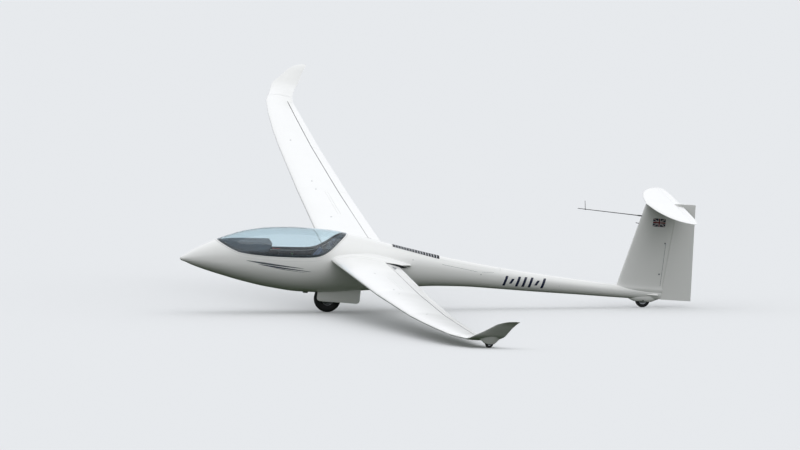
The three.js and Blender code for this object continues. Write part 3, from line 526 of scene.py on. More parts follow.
# A finish in two near colours with soft clouds, a range of gloss and a fine grain.
def makeFinish(name, slot, low, high, gloss, clouds, grain, depth, **sockets):
    material, tree, shader = newMaterial(name, slot)
    place = objectPlace(tree)
    share = addRange(tree, addNoise(tree, place, clouds, 4), From_Min=0.35, From_Max=0.65)
    setSockets(shader, {
        "Base Color": blendColours(tree, share, linearColour(low), linearColour(high)),
        "Roughness": addRange(tree, share, To_Min=gloss[0], To_Max=gloss[1]),
        "Normal": addBump(tree, addNoise(tree, place, grain, 2), depth),
    })
    setSockets(shader, {name.replace("_", " "): value for name, value in sockets.items()})
    return material


def makeWoven():
    # Woven polyester seat cloth: matt, with a rib of about 1.5 mm, drawn at 3 mm so that it shows.
    material = makeFinish(
        "wovenSeatCloth", "cloth", "#27324A", "#35435E", (0.8, 0.95), 30, 900, 0.0001,
        Sheen_Weight=0.25,
    )
    tree = material.node_tree
    wave = {"Vector": objectPlace(tree), "Scale": 105}
    ribs = [
        addNode(tree, "ShaderNodeTexWave", wave, bands_direction=axis).outputs["Fac"]
        for axis in ("X", "Y")
    ]
    weave = addNode(tree, "ShaderNodeMath", dict(enumerate(ribs)), operation="MULTIPLY").outputs[0]
    setSockets(tree.nodes["Principled BSDF"], {"Normal": addBump(tree, weave, 0.0006)})
    return material


gelcoat = makeGelcoat()
acrylic = makeAcrylic()
# Black nitrile tyre rubber, moulded: dull, greyish, with fine dust in its grain.
rubber = makeFinish("tyreRubber", "rubber", "#17181A", "#242527", (0.72, 0.9), 25, 900, 3e-4)
# Cast aluminium alloy, left bare: pale grey metal with a slightly sandy skin.
castAlloy = makeFinish(
    "castAlloy", "alloy", "#9EA2A6", "#B9BCBF", (0.35, 0.5), 12, 700, 2e-4, Metallic=1,
)
# Machined steel with a thin zinc coat: mid grey metal with soft reflections.
steel = makeFinish(
    "zincedSteel", "steel", "#85898D", "#9DA0A3", (0.28, 0.42), 20, 900, 1e-4, Metallic=1,
)
# Steel tube under grey epoxy paint: even and half gloss.
paintedSteel = makeFinish(
    "greyPaintedSteel", "steel", "#A9ADAF", "#B6B9BA", (0.32, 0.42), 10, 250, 1e-4,
)
# Glass fibre moulding sprayed with black texture paint: matt with a fine orange peel.
darkTrim = makeFinish(
    "blackTexturePaint", "dark_trim", "#20252A", "#2A3036", (0.5, 0.66), 8, 600, 3e-4,
)
# Grey vinyl glued over a glass fibre hood: soft sheen and a leather grain.
greyTrim = makeFinish(
    "greyHoodVinyl", "grey_trim", "#3C4853", "#46535F", (0.55, 0.7), 9, 420, 5e-4,
)
seatCloth = makeWoven()
# Moulded ABS plastic in black: a soft sheen with a very fine spark-eroded grain.
hardPlastic = makeFinish(
    "blackMouldedPlastic", "dark_trim", "#151719", "#1D2022", (0.38, 0.5), 14, 900, 1e-4,
)
# The same plastic in the signal colours of cockpit controls.
redPlastic, bluePlastic, greenPlastic = (
    makeFinish(f"{name}MouldedPlastic", "dark_trim", low, high, (0.35, 0.45), 14, 900, 1e-4)
    for name, low, high in (
        ("red", "#A5221D", "#B32A22"), ("blue", "#1F4C94", "#2757A3"),
        ("green", "#2C7A46", "#358550"),
    )
)
# Soft split leather, folded: matt black-brown with creases.
gaiterLeather = makeFinish(
    "gaiterLeather", "dark_trim", "#1C1A19", "#2A2724", (0.6, 0.8), 40, 300, 6e-4,
)
# Woven polyester webbing: tight ribs and a slight sheen along the thread.
webbing = makeFinish(
    "harnessWebbing", "cloth", "#33507E", "#3D5C8C", (0.6, 0.75), 60, 1400, 5e-4, Sheen_Weight=0.2,
)
# Printed dial sheet: dead matt black.
dialFace = makeFinish("dialPrint", "dark_trim", "#0C0D0E", "#141516", (0.75, 0.85), 20, 900, 5e-5)
# Luminous white print on the dials.
dialMark = makeFinish(
    "dialWhitePaint", "dark_trim", "#E4E6DF", "#EFF0EA", (0.6, 0.7), 30, 900, 5e-5,
)
# Cast vinyl film, cut and stuck on: even colour, half gloss, no grain.
vinyl = {
    name: makeFinish(f"{name}VinylFilm", "dark_trim", low, high, (0.3, 0.38), 5, 200, 2e-5)
    for name, low, high in (
        ("navy", "#161C36", "#1A2140"), ("grey", "#5A6066", "#62686E"),
        ("white", "#E9EAEA", "#F0F0F0"), ("red", "#701820", "#7A1E27"),
    )
}
# Polyester sealing tape over a joint: a shade greyer than the gelcoat, with a plain satin face.
paleTape = makeFinish("sealingTape", "gelcoat", "#DCDDDB", "#E4E5E3", (0.35, 0.5), 20, 120, 4e-5)
# Monocrystalline cells under resin: blue-black, half gloss, with soft changes of tone.
solarCell = makeFinish(
    "solarCellSheet", "cells", "#0B0F16", "#131923", (0.55, 0.65), 22, 60, 3e-5,
    Specular_IOR_Level=0.12,
)
# Tinned copper contacts between the cells: dull silver.
solarContact = makeFinish(
    "tinnedContact", "alloy", "#CDD0D2", "#DCDEDF", (0.5, 0.65), 40, 800, 1e-4, Metallic=0.5,
)
# Pultruded carbon tube, lacquered: near black with a silky gloss.
carbonTube = makeFinish("carbonTube", "steel", "#2C2E31", "#393B3F", (0.3, 0.42), 60, 900, 1e-4)
# Display glass, switched off: almost black with a clear reflection.
screenGlass = makeFinish(
    "displayGlass", "dark_trim", "#0A0F14", "#101720", (0.05, 0.1), 10, 50, 1e-5,
)


# Fuselage
fuselageTable = [  # station, top, bottom, half width, height of the widest point
    (0, 0.007, -0.007, 0.007, 0),
    (0.006, 0.02, -0.016, 0.018, 0.001),
    (0.025, 0.037, -0.026, 0.031, 0.004),
    (0.06, 0.058, -0.036, 0.047, 0.008),
    (0.16, 0.131, -0.072, 0.095, 0.018),
    (0.33, 0.232, -0.12, 0.156, 0.03),
    (0.56, 0.342, -0.174, 0.212, 0.036),
    (0.86, 0.452, -0.236, 0.26, 0.044),
    (1.2, 0.515, -0.288, 0.298, 0.056),
    (1.6, 0.54, -0.318, 0.315, 0.074),
    (1.95, 0.535, -0.306, 0.303, 0.092),
    (2.3, 0.492, -0.266, 0.27, 0.108),
    (2.65, 0.434, -0.217, 0.222, 0.108),
    (3.05, 0.366, -0.154, 0.168, 0.102),
    (3.5, 0.296, -0.103, 0.128, 0.088),
    (4.0, 0.236, -0.082, 0.108, 0.072),
    (4.7, 0.17, -0.082, 0.094, 0.046),
    (5.4, 0.124, -0.076, 0.08, 0.024),
    (5.95, 0.096, -0.074, 0.066, 0.01),
    (6.56, 0.08, -0.066, 0.036, 0.005),
]
fuselage = {
    "points": 96,
    "wall": 0.018,
    "hollowFrom": 0.11,
    "hollowTo": 2.4,
    "tail": 6.56,
    "bulkheadLow": Vector((1.6, 0, -0.3)),
    "bulkheadHigh": Vector((2.185, 0, 0.5)),
}
canopyEdge = [  # station, height of the lower edge of the canopy
    (0.44, 0.302), (0.57, 0.243), (0.67, 0.203), (0.76, 0.179), (0.9, 0.169), (1.08, 0.167),
    (1.3, 0.172), (1.52, 0.182), (1.7, 0.196), (1.8, 0.215), (1.88, 0.25), (1.98, 0.325),
    (2.085, 0.428), (2.22, 0.538),
]
topAt, bottomAt, halfAt, waistAt = (column(fuselageTable, key) for key in (1, 2, 3, 4))
edgeAt = column(canopyEdge, 1)


def hullPoint(x, angle, grow=0):
    lift = cos(angle)
    reach = (topAt(x) - waistAt(x) if lift > 0 else waistAt(x) - bottomAt(x)) + grow
    return Vector((
        x,
        max(0.001, halfAt(x) + grow) * sin(angle),
        waistAt(x) + max(0.001, reach) * lift,
    ))


def hullRing(x, grow=0, points=fuselage["points"]):
    return [hullPoint(x, 2 * pi * k / points, grow) for k in range(points)]


def hullStations(start, end):
    stations = [start]
    while stations[-1] < end:
        x = stations[-1]
        gap = 0.002 + x * 0.12 if x < 0.25 else min(0.07, 0.028 + 0.012 * max(0, x - 1.8))
        stations.append(min(end, x + gap))
    if stations[-1] - stations[-2] < 0.01:
        stations.pop(-2)
    return stations


def hullBody(name, grow=0, start=0, end=fuselage["tail"]):
    return loft(name, [hullRing(x, grow) for x in hullStations(start, end)])


def fitHull(piece, grow, start, end):
    return keepInside(piece, hullBody("inside", grow, start, end))


# A plate of any outline in side view, right across the aircraft.
def sidePlate(outline, low=-0.6, high=0.6):
    return loft("plate", [[(x, y, z) for x, z in outline] for y in (low, high)])


def canopyPrism(lift):
    points = []
    for x in steps(canopyEdge[0][0], canopyEdge[-1][0], 60):
        slope = (edgeAt(x + 0.001) - edgeAt(x - 0.001)) / 0.002
        along = Vector((1, slope)).normalized()
        points.append((x - along.y * lift, edgeAt(x) + along.x * lift))
    return sidePlate([*points, (2.4, 0.9), (0.3, 0.9)])


# The cockpit's inner space, closed aft by the sloping bulkhead behind the seat.
def cockpitSpace(grow):
    space = hullBody("space", grow, fuselage["hollowFrom"], fuselage["hollowTo"])
    along = fuselage["bulkheadHigh"] - fuselage["bulkheadLow"]
    selectOnly(space)
    bpy.ops.object.mode_set(mode="EDIT")
    bpy.ops.mesh.select_all(action="SELECT")
    bpy.ops.mesh.bisect(
        plane_co=fuselage["bulkheadLow"], plane_no=(along.z, 0, -along.x),
        use_fill=True, clear_outer=True,
    )
    bpy.ops.object.mode_set(mode="OBJECT")
    return space


# Aerofoils
def foilHalf(share, thick):
    root = 0.2969 * sqrt(share) - 0.126 * share - 0.3516 * share**2
    return 5 * thick * (root + 0.2843 * share**3 - 0.1036 * share**4)


def foilCamber(share, camber):
    return 4 * camber * share * (1 - share)


def foilPoint(lead, chord, thick, camber, across, share, side, lift=0):
    height = (foilCamber(share, camber) + side * foilHalf(share, thick)) * chord
    height += side * (share * trailHalf + lift)
    return lead + Vector((share * chord, 0, 0)) + across * height


def foilRing(lead, chord, thick, camber, across, grow=0):
    shares = [(1 - cos(pi * i / foilSteps)) / 2 for i in range(foilSteps + 1)]
    upper = [foilPoint(lead, chord, thick, camber, across, s, 1, grow) for s in shares]
    lower = [foilPoint(lead, chord, thick, camber, across, s, -1, grow) for s in shares[:0:-1]]
    return upper + lower


foilSteps = 32
trailHalf = 0.001
wingCamber = 0.02


# All that lies on or behind a hinge line: a round nose about the line and a slab that runs aft.
def hingeTool(a, b, radiusA, radiusB, across, tall=0.16, reach=0.52):
    def ring(p, radius):
        arc = [pi / 2 + pi * i / 20 for i in range(21)]
        flat = [(reach, tall), (0, tall)]
        flat += [(radius * cos(t), radius * sin(t)) for t in arc]
        flat += [(0, -tall), (reach, -tall)]
        return [p + Vector((aft, 0, 0)) + across * side for aft, side in flat]

    return loft("hinge_tool", [ring(a, radiusA), ring(b, radiusB)])


# Wing
wingTable = [  # span station, leading edge, trailing edge, height, thickness share
    (0.34, 1.976, 2.862, 0.186, 0.148),
    (1.9, 2.01, 2.811, 0.29, 0.142),
    (3.53, 2.045, 2.757, 0.399, 0.136),
    (5.78, 2.094, 2.678, 0.592, 0.132),
    (6.6, 2.117, 2.652, 0.68, 0.13),
    (7.4, 2.158, 2.624, 0.767, 0.128),
    (8.05, 2.214, 2.602, 0.837, 0.125),
    (8.3, 2.27, 2.628, 0.868, 0.12),
]
leadAt, trailAt, wingZ, thickAt = (straight(wingTable, key) for key in (1, 2, 3, 4))
wing = {
    "sections": 40,
    "gap": 0.002,
    "hinge": 0.8,
    "noseShare": 0.92,
    "surfaces": {"flap": (0.49, 3.527), "flaperon": (3.533, 5.777), "aileron": (5.783, 8.02)},
}


def wingPoint(y, share, side, lift=0):
    lead = Vector((leadAt(y), y, wingZ(y)))
    return foilPoint(
        lead, trailAt(y) - leadAt(y), thickAt(y), wingCamber, upward, share, side, lift,
    )


def wingRing(y):
    lead = Vector((leadAt(y), y, wingZ(y)))
    return foilRing(lead, trailAt(y) - leadAt(y), thickAt(y), wingCamber, upward)


def wingStations():
    stations = steps(wingTable[0][0], wingTable[-1][0], wing["sections"])
    return sorted({*stations, *(row[0] for row in wingTable)})


def hingeLine(y):
    return wingPoint(y, wing["hinge"], 0)


def hingeSkin(y):
    return foilHalf(wing["hinge"], thickAt(y)) * (trailAt(y) - leadAt(y)) + trailHalf


def surfaceTool(start, end, extra, nose):
    a, b = hingeLine(start), hingeLine(end)
    along = (b - a).normalized()
    return hingeTool(
        a - along * extra, b + along * extra, nose(start), nose(end), upward,
    )


airbrake = {
    "from": 2.15, "to": 3.35, "share": 0.52, "deep": 0.08, "capHalf": 0.018, "gap": 0.002,
    "upperTall": 0.066, "lowerTall": 0.06,
}


# A straight beam along the airbrake: distances aft of and above its upper edge line.
def brakeBeam(aft0, aft1, low, high, trim):
    a = wingPoint(airbrake["from"], airbrake["share"], 1)
    b = wingPoint(airbrake["to"], airbrake["share"], 1)
    along = (b - a).normalized()
    lift = Vector((0, -along.z, along.y))
    corners = [(aft0, low), (aft1, low), (aft1, high), (aft0, high)]
    rings = [
        [p + Vector((aft, 0, 0)) + lift * height for aft, height in corners]
        for p in (a + along * trim, b - along * trim)
    ]
    return loft("beam", rings)


def makeWing():
    blank = loft("wing_SIDE_skin", [wingRing(y) for y in wingStations()])
    moving = {}
    for name, (start, end) in wing["surfaces"].items():
        surface = copyOf(blank, name + "_SIDE_skin")
        keepInside(surface, surfaceTool(start, end, 0, lambda y: hingeSkin(y) * wing["noseShare"]))
        moving[name] = surface
    cap = copyOf(blank, "cap")
    for low, high in zip([0.49, 3.53, 5.78], [3.53, 5.78, 8.02]):
        carve(blank, surfaceTool(low, high, 0.002, lambda y: hingeSkin(y) + wing["gap"]))
    half, gap = airbrake["capHalf"], airbrake["gap"]
    carve(
        blank,
        brakeBeam(-0.013, 0.013, -airbrake["deep"], 0.012, 0),
        brakeBeam(-half - gap, half + gap, -0.009, 0.012, 0),
    )
    keepInside(cap, brakeBeam(-half, half, -0.0045, 0.03, gap))
    upper = brakeBeam(-0.0085, -0.0025, -0.006 - airbrake["upperTall"], -0.0035, 0.01)
    weld(cap, upper)
    cap.name = "airbrake_upper_SIDE_skin"
    lowTop = -airbrake["deep"] + 0.012 + airbrake["lowerTall"]
    lower = brakeBeam(0.0025, 0.0085, lowTop - airbrake["lowerTall"], lowTop, 0.01)
    lower.name = "airbrake_lower_SIDE_skin"
    bothSides(blank, gelcoat, "wing_SIDE")
    for name, piece in {"airbrake_upper": cap, "airbrake_lower": lower, **moving}.items():
        bothSides(piece, gelcoat, f"{name}_SIDE", body=f"{name}_SIDE")


mainWheelWell = ((1.85, -0.096, -0.5), (2.45, 0.096, 0))
tailWheelWell = ((6.158, -0.028, -0.22), (6.37, 0.028, 0.024))


def makeFuselage():
    skin = hullBody("fuselage_skin")
    for side in (1, -1):
        weld(skin, rootStub(side))
    carve(
        skin,
        cockpitSpace(-fuselage["wall"]),
        canopyPrism(canopy["sill"]),
        boxTool(*mainWheelWell),
        bayTool(0, -0.02),
        rudderTool(*rudder["well"]),
        boxTool(*tailWheelWell),
    )
    dress(skin, gelcoat, "cockpit_shell", "centre_section", "tail_boom")


# The fixed wing root, which flares into the fuselage side.
rootFlare = {
    "lead": 0.06, "trail": 0.2, "thick": 0.055, "drop": 0.008,
    "from": 0.06, "flareFrom": 0.2, "to": 0.3397,
}


def rootStub(side):
    rings = []
    flare = rootFlare
    start, end = flare["flareFrom"], flare["to"]
    for y in [flare["from"], *steps(start, end, 12)]:
        fade = 1 - max(0, (y - start) / (end - start))
        lead, trail, z, thick = wingTable[0][1:]
        lead -= flare["lead"] * fade**2.2
        trail += flare["trail"] * fade**2.2
        thick += flare["thick"] * fade**2.2
        place = Vector((lead, y, z - flare["drop"] * fade))
        ring = foilRing(place, trail - lead, thick, wingCamber, upward)
        rings.append([(p.x, p.y * side, p.z) for p in ring])
    return loft("root", rings)


engineBay = {"from": 2.8, "to": 4.29, "frontHalf": 0.084, "rearHalf": 0.062, "thick": 0.008}


def bayTool(inset, low, inner=None):
    bay = engineBay
    rings = []
    for x, half in ((bay["from"] + inset, bay["frontHalf"]), (bay["to"] - inset, bay["rearHalf"])):
        near = -(half - inset) if inner is None else inner
        rings.append([
            (x, near, low), (x, half - inset, low), (x, half - inset, 0.6), (x, near, 0.6),
        ])
    return loft("bay", rings)


def makeEngineDoors():
    door = hullBody("engine_door_SIDE_skin", 0, 2.7, 4.4)
    keepInside(door, bayTool(0.002, 0.05, 0.001))
    carve(door, hullBody("inside", -engineBay["thick"], 2.6, 4.5))
    bothSides(door, gelcoat, "engine_door_SIDE", body="engine_door_SIDE")


# Tail
tailTable = [  # height, leading edge, trailing edge, thickness share
    (-0.054, 5.85, 6.915, 0.088),
    (0.09, 5.886, 6.907, 0.086),
    (0.65, 6.022, 6.872, 0.08),
    (1.252, 6.168, 6.836, 0.076),
]
tailLead, tailTrail, tailThick = (straight(tailTable, key) for key in (1, 2, 3))
rudder = {  # ends of the hinge line, then nose radii below and above: of the rudder and of its well
    "low": Vector((6.502, 0, -0.054)), "high": Vector((6.597, 0, 1.252)),
    "nose": (0.033, 0.017), "well": (0.04, 0.023),
}
tailplaneTable = [  # span station, leading edge, trailing edge, thickness share
    (0, 6.162, 6.658, 0.105),
    (0.5, 6.214, 6.658, 0.102),
    (0.9, 6.3, 6.652, 0.1),
    (1.1, 6.38, 6.64, 0.1),
    (1.22, 6.466, 6.624, 0.1),
    (1.285, 6.552, 6.604, 0.12),
]
tailplane = {"z": 1.222, "hinge": 6.56, "from": 0.078, "to": 1.18, "nose": 0.011, "skin": 0.0125}


def tailRing(z, widen=0):
    lead = Vector((tailLead(z) - 2 * widen, 0, z))
    chord = tailTrail(z) - lead.x
    return foilRing(lead, chord, tailThick(z), 0, starboard, widen)


def rudderTool(lowRadius, highRadius):
    low, high = rudder["low"], rudder["high"]
    along = (high - low).normalized() * 0.04
    return hingeTool(low - along, high + along, lowRadius, highRadius, starboard)


finFlare = [  # height, how far the fin's foot stands out there
    (0, -0.012), (0.03, -0.001), (0.06, 0.006), (0.075, 0.0065), (0.1, 0.003), (0.13, 0.0006),
    (0.16, 0),
]


def makeFin():
    flare = column(finFlare, 1)
    heights = [*steps(0, 0.16, 16), *steps(0.2, 1.222, 12)]
    fin = loft("fin_skin", [tailRing(z, flare(min(z, 0.16))) for z in heights])
    carve(fin, rudderTool(*rudder["well"]))
    dress(fin, gelcoat, "fin")
    blade = loft("rudder_skin", [tailRing(z) for z in steps(-0.054, 1.252, 16)])
    keepInside(blade, rudderTool(*rudder["nose"]))
    dress(blade, gelcoat, "rudder", body="rudder")


def tailplaneRing(y):
    lead, trail, thick = (column(tailplaneTable, key)(abs(y)) for key in (1, 2, 3))
    return foilRing(Vector((lead, y, tailplane["z"])), trail - lead, thick, 0, upward)


def makeTailplane():
    side = [*steps(0, 1.1, 11)[1:], *steps(1.1, 1.285, 8)[1:]]
    spans = [*[-y for y in reversed(side)], 0, *side]
    blank = loft("tailplane_skin", [tailplaneRing(y) for y in spans])
    elevator = copyOf(blank, "elevator_skin")
    t = tailplane
    hinge = [Vector((t["hinge"], y, t["z"])) for y in (t["from"], t["to"])]
    sides = hingeTool(*hinge, t["nose"], t["nose"], upward)
    weld(sides, mirrored(sides, "other"))
    keepInside(elevator, sides)
    gap = 0.003
    near = Vector((t["hinge"], -t["to"] - gap, t["z"]))
    far = Vector((t["hinge"], t["to"] + gap, t["z"]))
    carve(blank, hingeTool(near, far, t["skin"] + gap, t["skin"] + gap, upward))
    tube = loft("tube", [
        [(t["hinge"] + 0.0085 * cos(a), y, t["z"] + 0.0085 * sin(a))
         for a in circle(24)]
        for y in (-0.098, 0.098)
    ])
    weld(elevator, tube)
    dress(blank, gelcoat, "tailplane")
    dress(elevator, gelcoat, "elevator", body="elevator")


wingletTable = [  # order, span station, height, leading edge, trailing edge, thickness share, cant
    (0, 8.3, 0.868, 2.27, 2.628, 0.12, 0),
    (1, 8.52, 0.896, 2.328, 2.668, 0.115, 11),
    (2, 8.66, 0.938, 2.356, 2.712, 0.11, 25),
    (3, 8.755, 0.99, 2.392, 2.76, 0.1, 41),
    (4, 8.82, 1.06, 2.486, 2.793, 0.09, 52),
    (5, 8.87, 1.118, 2.556, 2.817, 0.085, 60),
    (6, 8.915, 1.172, 2.622, 2.85, 0.08, 64),
    (7, 8.955, 1.21, 2.702, 2.873, 0.075, 66),
    (8, 8.985, 1.23, 2.772, 2.886, 0.07, 66),
    (9, 8.998, 1.238, 2.838, 2.892, 0.07, 66),
]
pod = {  # the bulge on the winglet's foot that holds the tip wheel
    "y": 8.7, "from": 2.44, "to": 2.718, "middle": 0.956, "slope": 0.5, "flare": 0.9,
    "table": [  # station, bottom, half width
        (2.44, 0.95, 0.004), (2.462, 0.938, 0.012), (2.495, 0.914, 0.022), (2.532, 0.884, 0.032),
        (2.565, 0.868, 0.036), (2.618, 0.868, 0.036), (2.65, 0.88, 0.033), (2.68, 0.908, 0.024),
        (2.702, 0.934, 0.013), (2.718, 0.95, 0.004),
    ],
    "well": ((2.536, 8.686, 0.78), (2.648, 8.714, 0.937)),
}


def makeWinglets():
    values = [column(wingletTable, key) for key in range(1, 7)]
    rings = []
    for s in steps(0, 9, 45):
        y, z, lead, trail, thick, cant = (value(s) for value in values)
        lean = radians(cant)
        across = Vector((0, -sin(lean), cos(lean)))
        place = Vector((lead, y + (0.0003 if s == 0 else 0), z))
        rings.append(foilRing(place, trail - lead, thick, wingCamber / 2, across))
    winglet = loft("winglet_SIDE_skin", rings)
    low, half = column(pod["table"], 1), column(pod["table"], 2)

    def podRing(x):
        ring = []
        for a in steps(-pi / 2, pi / 2, 28):
            over = half(x) * sin(a) * (1 + pod["flare"] * (1 - cos(a)) ** 1.5)
            z = pod["middle"] + pod["slope"] * over - (pod["middle"] - low(x)) * cos(a)
            ring.append((x, pod["y"] + over, z))
        return ring

    weld(winglet, loft("pod", [podRing(x) for x in steps(pod["from"], pod["to"], 60)]))
    carve(winglet, boxTool(*pod["well"]))
    bothSides(winglet, gelcoat, "winglet_SIDE")


# Canopy
canopy = {
    "glass": 0.003, "sill": -0.011, "gap": 0.003, "rim": 0.004, "band": 0.03, "frameDepth": 0.022,
}


def makeCanopy():
    def sheet(name, outer, inner, low, high=None):
        made = hullBody(name, outer, 0.4, 2.3)
        carve(made, hullBody("inside", inner, 0.35, 2.35))
        keepInside(made, canopyPrism(low))
        if high is not None:
            carve(made, canopyPrism(high))
        return made

    inside = -canopy["glass"]
    sill = canopy["sill"] + canopy["gap"]
    glass = sheet("canopy_glass_sheet", 0, inside, canopy["rim"])
    dress(glass, acrylic, "canopy_glass", body="canopy")
    rim = sheet("canopy_rim", 0, inside, sill, canopy["rim"] - 0.0002)
    dress(rim, gelcoat, body="canopy")
    ring = sheet("canopy_frame_ring", inside - 0.0003, -canopy["frameDepth"], sill, canopy["band"])
    dress(ring, darkTrim, body="canopy")


# Wheels
wheels = {
    "main": {
        "centre": tyreCentres["main_tyre"], "radius": 0.18, "width": 0.116, "rim": 0.076,
        "axle": 0.012, "grooves": (0.4, 0.2, 0, -0.2, -0.4), "turns": 96,
    },
    "tail": {
        "centre": tyreCentres["tail_tyre"], "radius": 0.099, "width": 0.046, "rim": 0.05,
        "axle": 0.006, "grooves": (0.2, -0.2), "turns": 72,
    },
    "tip": {
        "centre": Vector((2.592, 8.7, 0.882)), "radius": 0.05, "width": 0.024, "rim": 0.02,
        "axle": 0.004, "grooves": (), "turns": 48,
    },
}
tyreSide = [  # share of the height from rim to tread, share of the half width
    (0, 0.58), (0.02, 0.66), (0.09, 0.73), (0.2, 0.87), (0.32, 0.96), (0.43, 1), (0.5, 1),
    (0.515, 1.02), (0.545, 1.02), (0.56, 0.99), (0.68, 0.965), (0.78, 0.91), (0.86, 0.82),
    (0.92, 0.7), (0.953, 0.57),
]
hubSide = [  # share of the way from axle to rim, share of the half width
    (0, 0.55), (0.18, 0.55), (0.23, 0.5), (0.26, 0.24), (0.71, 0.17), (0.84, 0.24), (0.9, 0.45),
    (0.94, 0.69), (1.02, 0.78), (1.09, 0.8), (1.12, 0.775), (1.1, 0.72), (1.01, 0.68), (0.994, 0.6),
]


# A ring turned about an axle that lies across the aircraft: points of radius and place along it.
def turned(name, profile, centre, count):
    bpy.ops.object.select_all(action="DESELECT")
    bpy.ops.mesh.primitive_circle_add(vertices=len(profile), fill_type="NOTHING")
    piece = bpy.context.object
    piece.name = name
    for vert, (radius, along) in zip(piece.data.vertices, profile):
        vert.co = centre + Vector((0, along, radius))
    bpy.ops.object.mode_set(mode="EDIT")
    bpy.ops.mesh.select_all(action="SELECT")
    bpy.ops.mesh.spin(steps=count, angle=2 * pi, center=centre, axis=starboard)
    bpy.ops.mesh.select_all(action="SELECT")
    bpy.ops.mesh.remove_doubles(threshold=0.00002)
    bpy.ops.mesh.normals_make_consistent(inside=False)
    bpy.ops.object.mode_set(mode="OBJECT")
    return piece


def makeTyre(name, wheel):
    tall, half = wheel["radius"] - wheel["rim"], wheel["width"] / 2
    side = [(wheel["rim"] + tall * up, half * out) for up, out in tyreSide]
    tread = []
    for middle in wheel["grooves"]:
        for offset, drop in ((0.045, 0), (0.03, 0.04), (-0.03, 0.04), (-0.045, 0)):
            out = middle + offset
            tread.append((wheel["radius"] - tall * (0.14 * out**2 + drop), half * out))
    if not tread:
        tread = [(wheel["radius"] - tall * 0.14 * out**2, half * out) for out in (0.3, 0, -0.3)]
    far = [(radius, -along) for radius, along in reversed(side)]
    return turned(name, side + tread + far, wheel["centre"], wheel["turns"])


def makeHub(name, wheel):
    bore, half = wheel["axle"] + 0.0005, wheel["width"] / 2
    side = [(bore + (wheel["rim"] - bore) * up, half * out) for up, out in hubSide]
    far = [(radius, -along) for radius, along in reversed(side)]
    return turned(name, side + far, wheel["centre"], wheel["turns"])


def ringOf(centre, radius, count, turn=0):
    angles = [2 * pi * (k + turn) / count for k in range(count)]
    return [centre + Vector((radius * cos(a), 0, radius * sin(a))) for a in angles]


# A hexagon head with its washer, on an axis across the aircraft.
def hexHead(spot, side, radius, tall):
    out = starboard * side
    washer = addTube("washer", spot, spot + out * tall * 0.25, radius * 1.25, sides=20)
    head = addTube("head", spot + out * tall * 0.2, spot + out * tall, radius, sides=6)
    return [washer, softenEdges(head, radius * 0.12, 2, 25)]


brake = {
    "disc": 0.064, "eye": 0.03, "holeRing": 0.054, "holes": 18, "carrier": 0.034, "slot": 0.044,
    "caliper": ((1.945, 0.0425, -0.415), (1.985, 0.0665, -0.368)),
}


def makeWheels():
    main, tail, tip = wheels["main"], wheels["tail"], wheels["tip"]
    middle = main["centre"]
    body = "main_wheel"
    dress(makeTyre("main_tyre_rubber", main), rubber, "main_tyre", body=body)
    hub = makeHub("main_hub_casting", main)
    for spot in ringOf(middle, 0.044, 6):
        carve(hub, addTube("hole", *barEnds(spot, -0.03, 0.03), 0.0095))
    dress(hub, castAlloy, "main_hub", body=body)
    bolts = []
    for side in (1, -1):
        for spot in ringOf(middle + starboard * side * 0.0095, 0.046, 6, 0.5):
            bolts += hexHead(spot, side, 0.006, 0.008)
    dress(joined("main_hub_bolts", bolts), steel, body=body)
    disc = addTube("main_brake_disc", *barEnds(middle, 0.0365, 0.0405), brake["disc"], sides=64)
    carve(disc, addTube("eye", *barEnds(middle, 0.03, 0.05), brake["eye"], sides=40))
    for spot in ringOf(middle + starboard * 0.0385, brake["holeRing"], brake["holes"]):
        carve(disc, addTube("hole", *barEnds(spot, -0.01, 0.01), 0.003, sides=10))
    carrier = addTube("carrier", *barEnds(middle, 0.031, 0.038), brake["carrier"], sides=40)
    carve(carrier, addTube("eye", *barEnds(middle, 0, 0.06), 0.0125, sides=30))
    dress(joined("main_brake_disc", [disc, carrier]), steel, body=body)
    dress(makeTyre("tail_tyre_rubber", tail), rubber, "tail_tyre", body="tail_wheel")
    dress(makeHub("tail_hub_casting", tail), castAlloy, "tail_hub", body="tail_wheel")
    tyre, core = makeTyre("tip_wheel_tyre_SIDE", tip), makeHub("tip_wheel_core_SIDE", tip)
    bothSides(tyre, rubber, "tip_wheel_SIDE", body="tip_wheel_SIDE")
    bothSides(core, castAlloy, body="tip_wheel_SIDE")
    bothSides(addTube("tip_wheel_axle_SIDE", *barEnds(tip["centre"], -0.021, 0.021), 0.004), steel)


gear = {
    "pivot": (2.34, -0.11), "brace": (1.915, -0.06), "braceFoot": (2.15, -0.276),
    "armIn": 0.066, "armOut": 0.079, "reach": 0.0957,
}


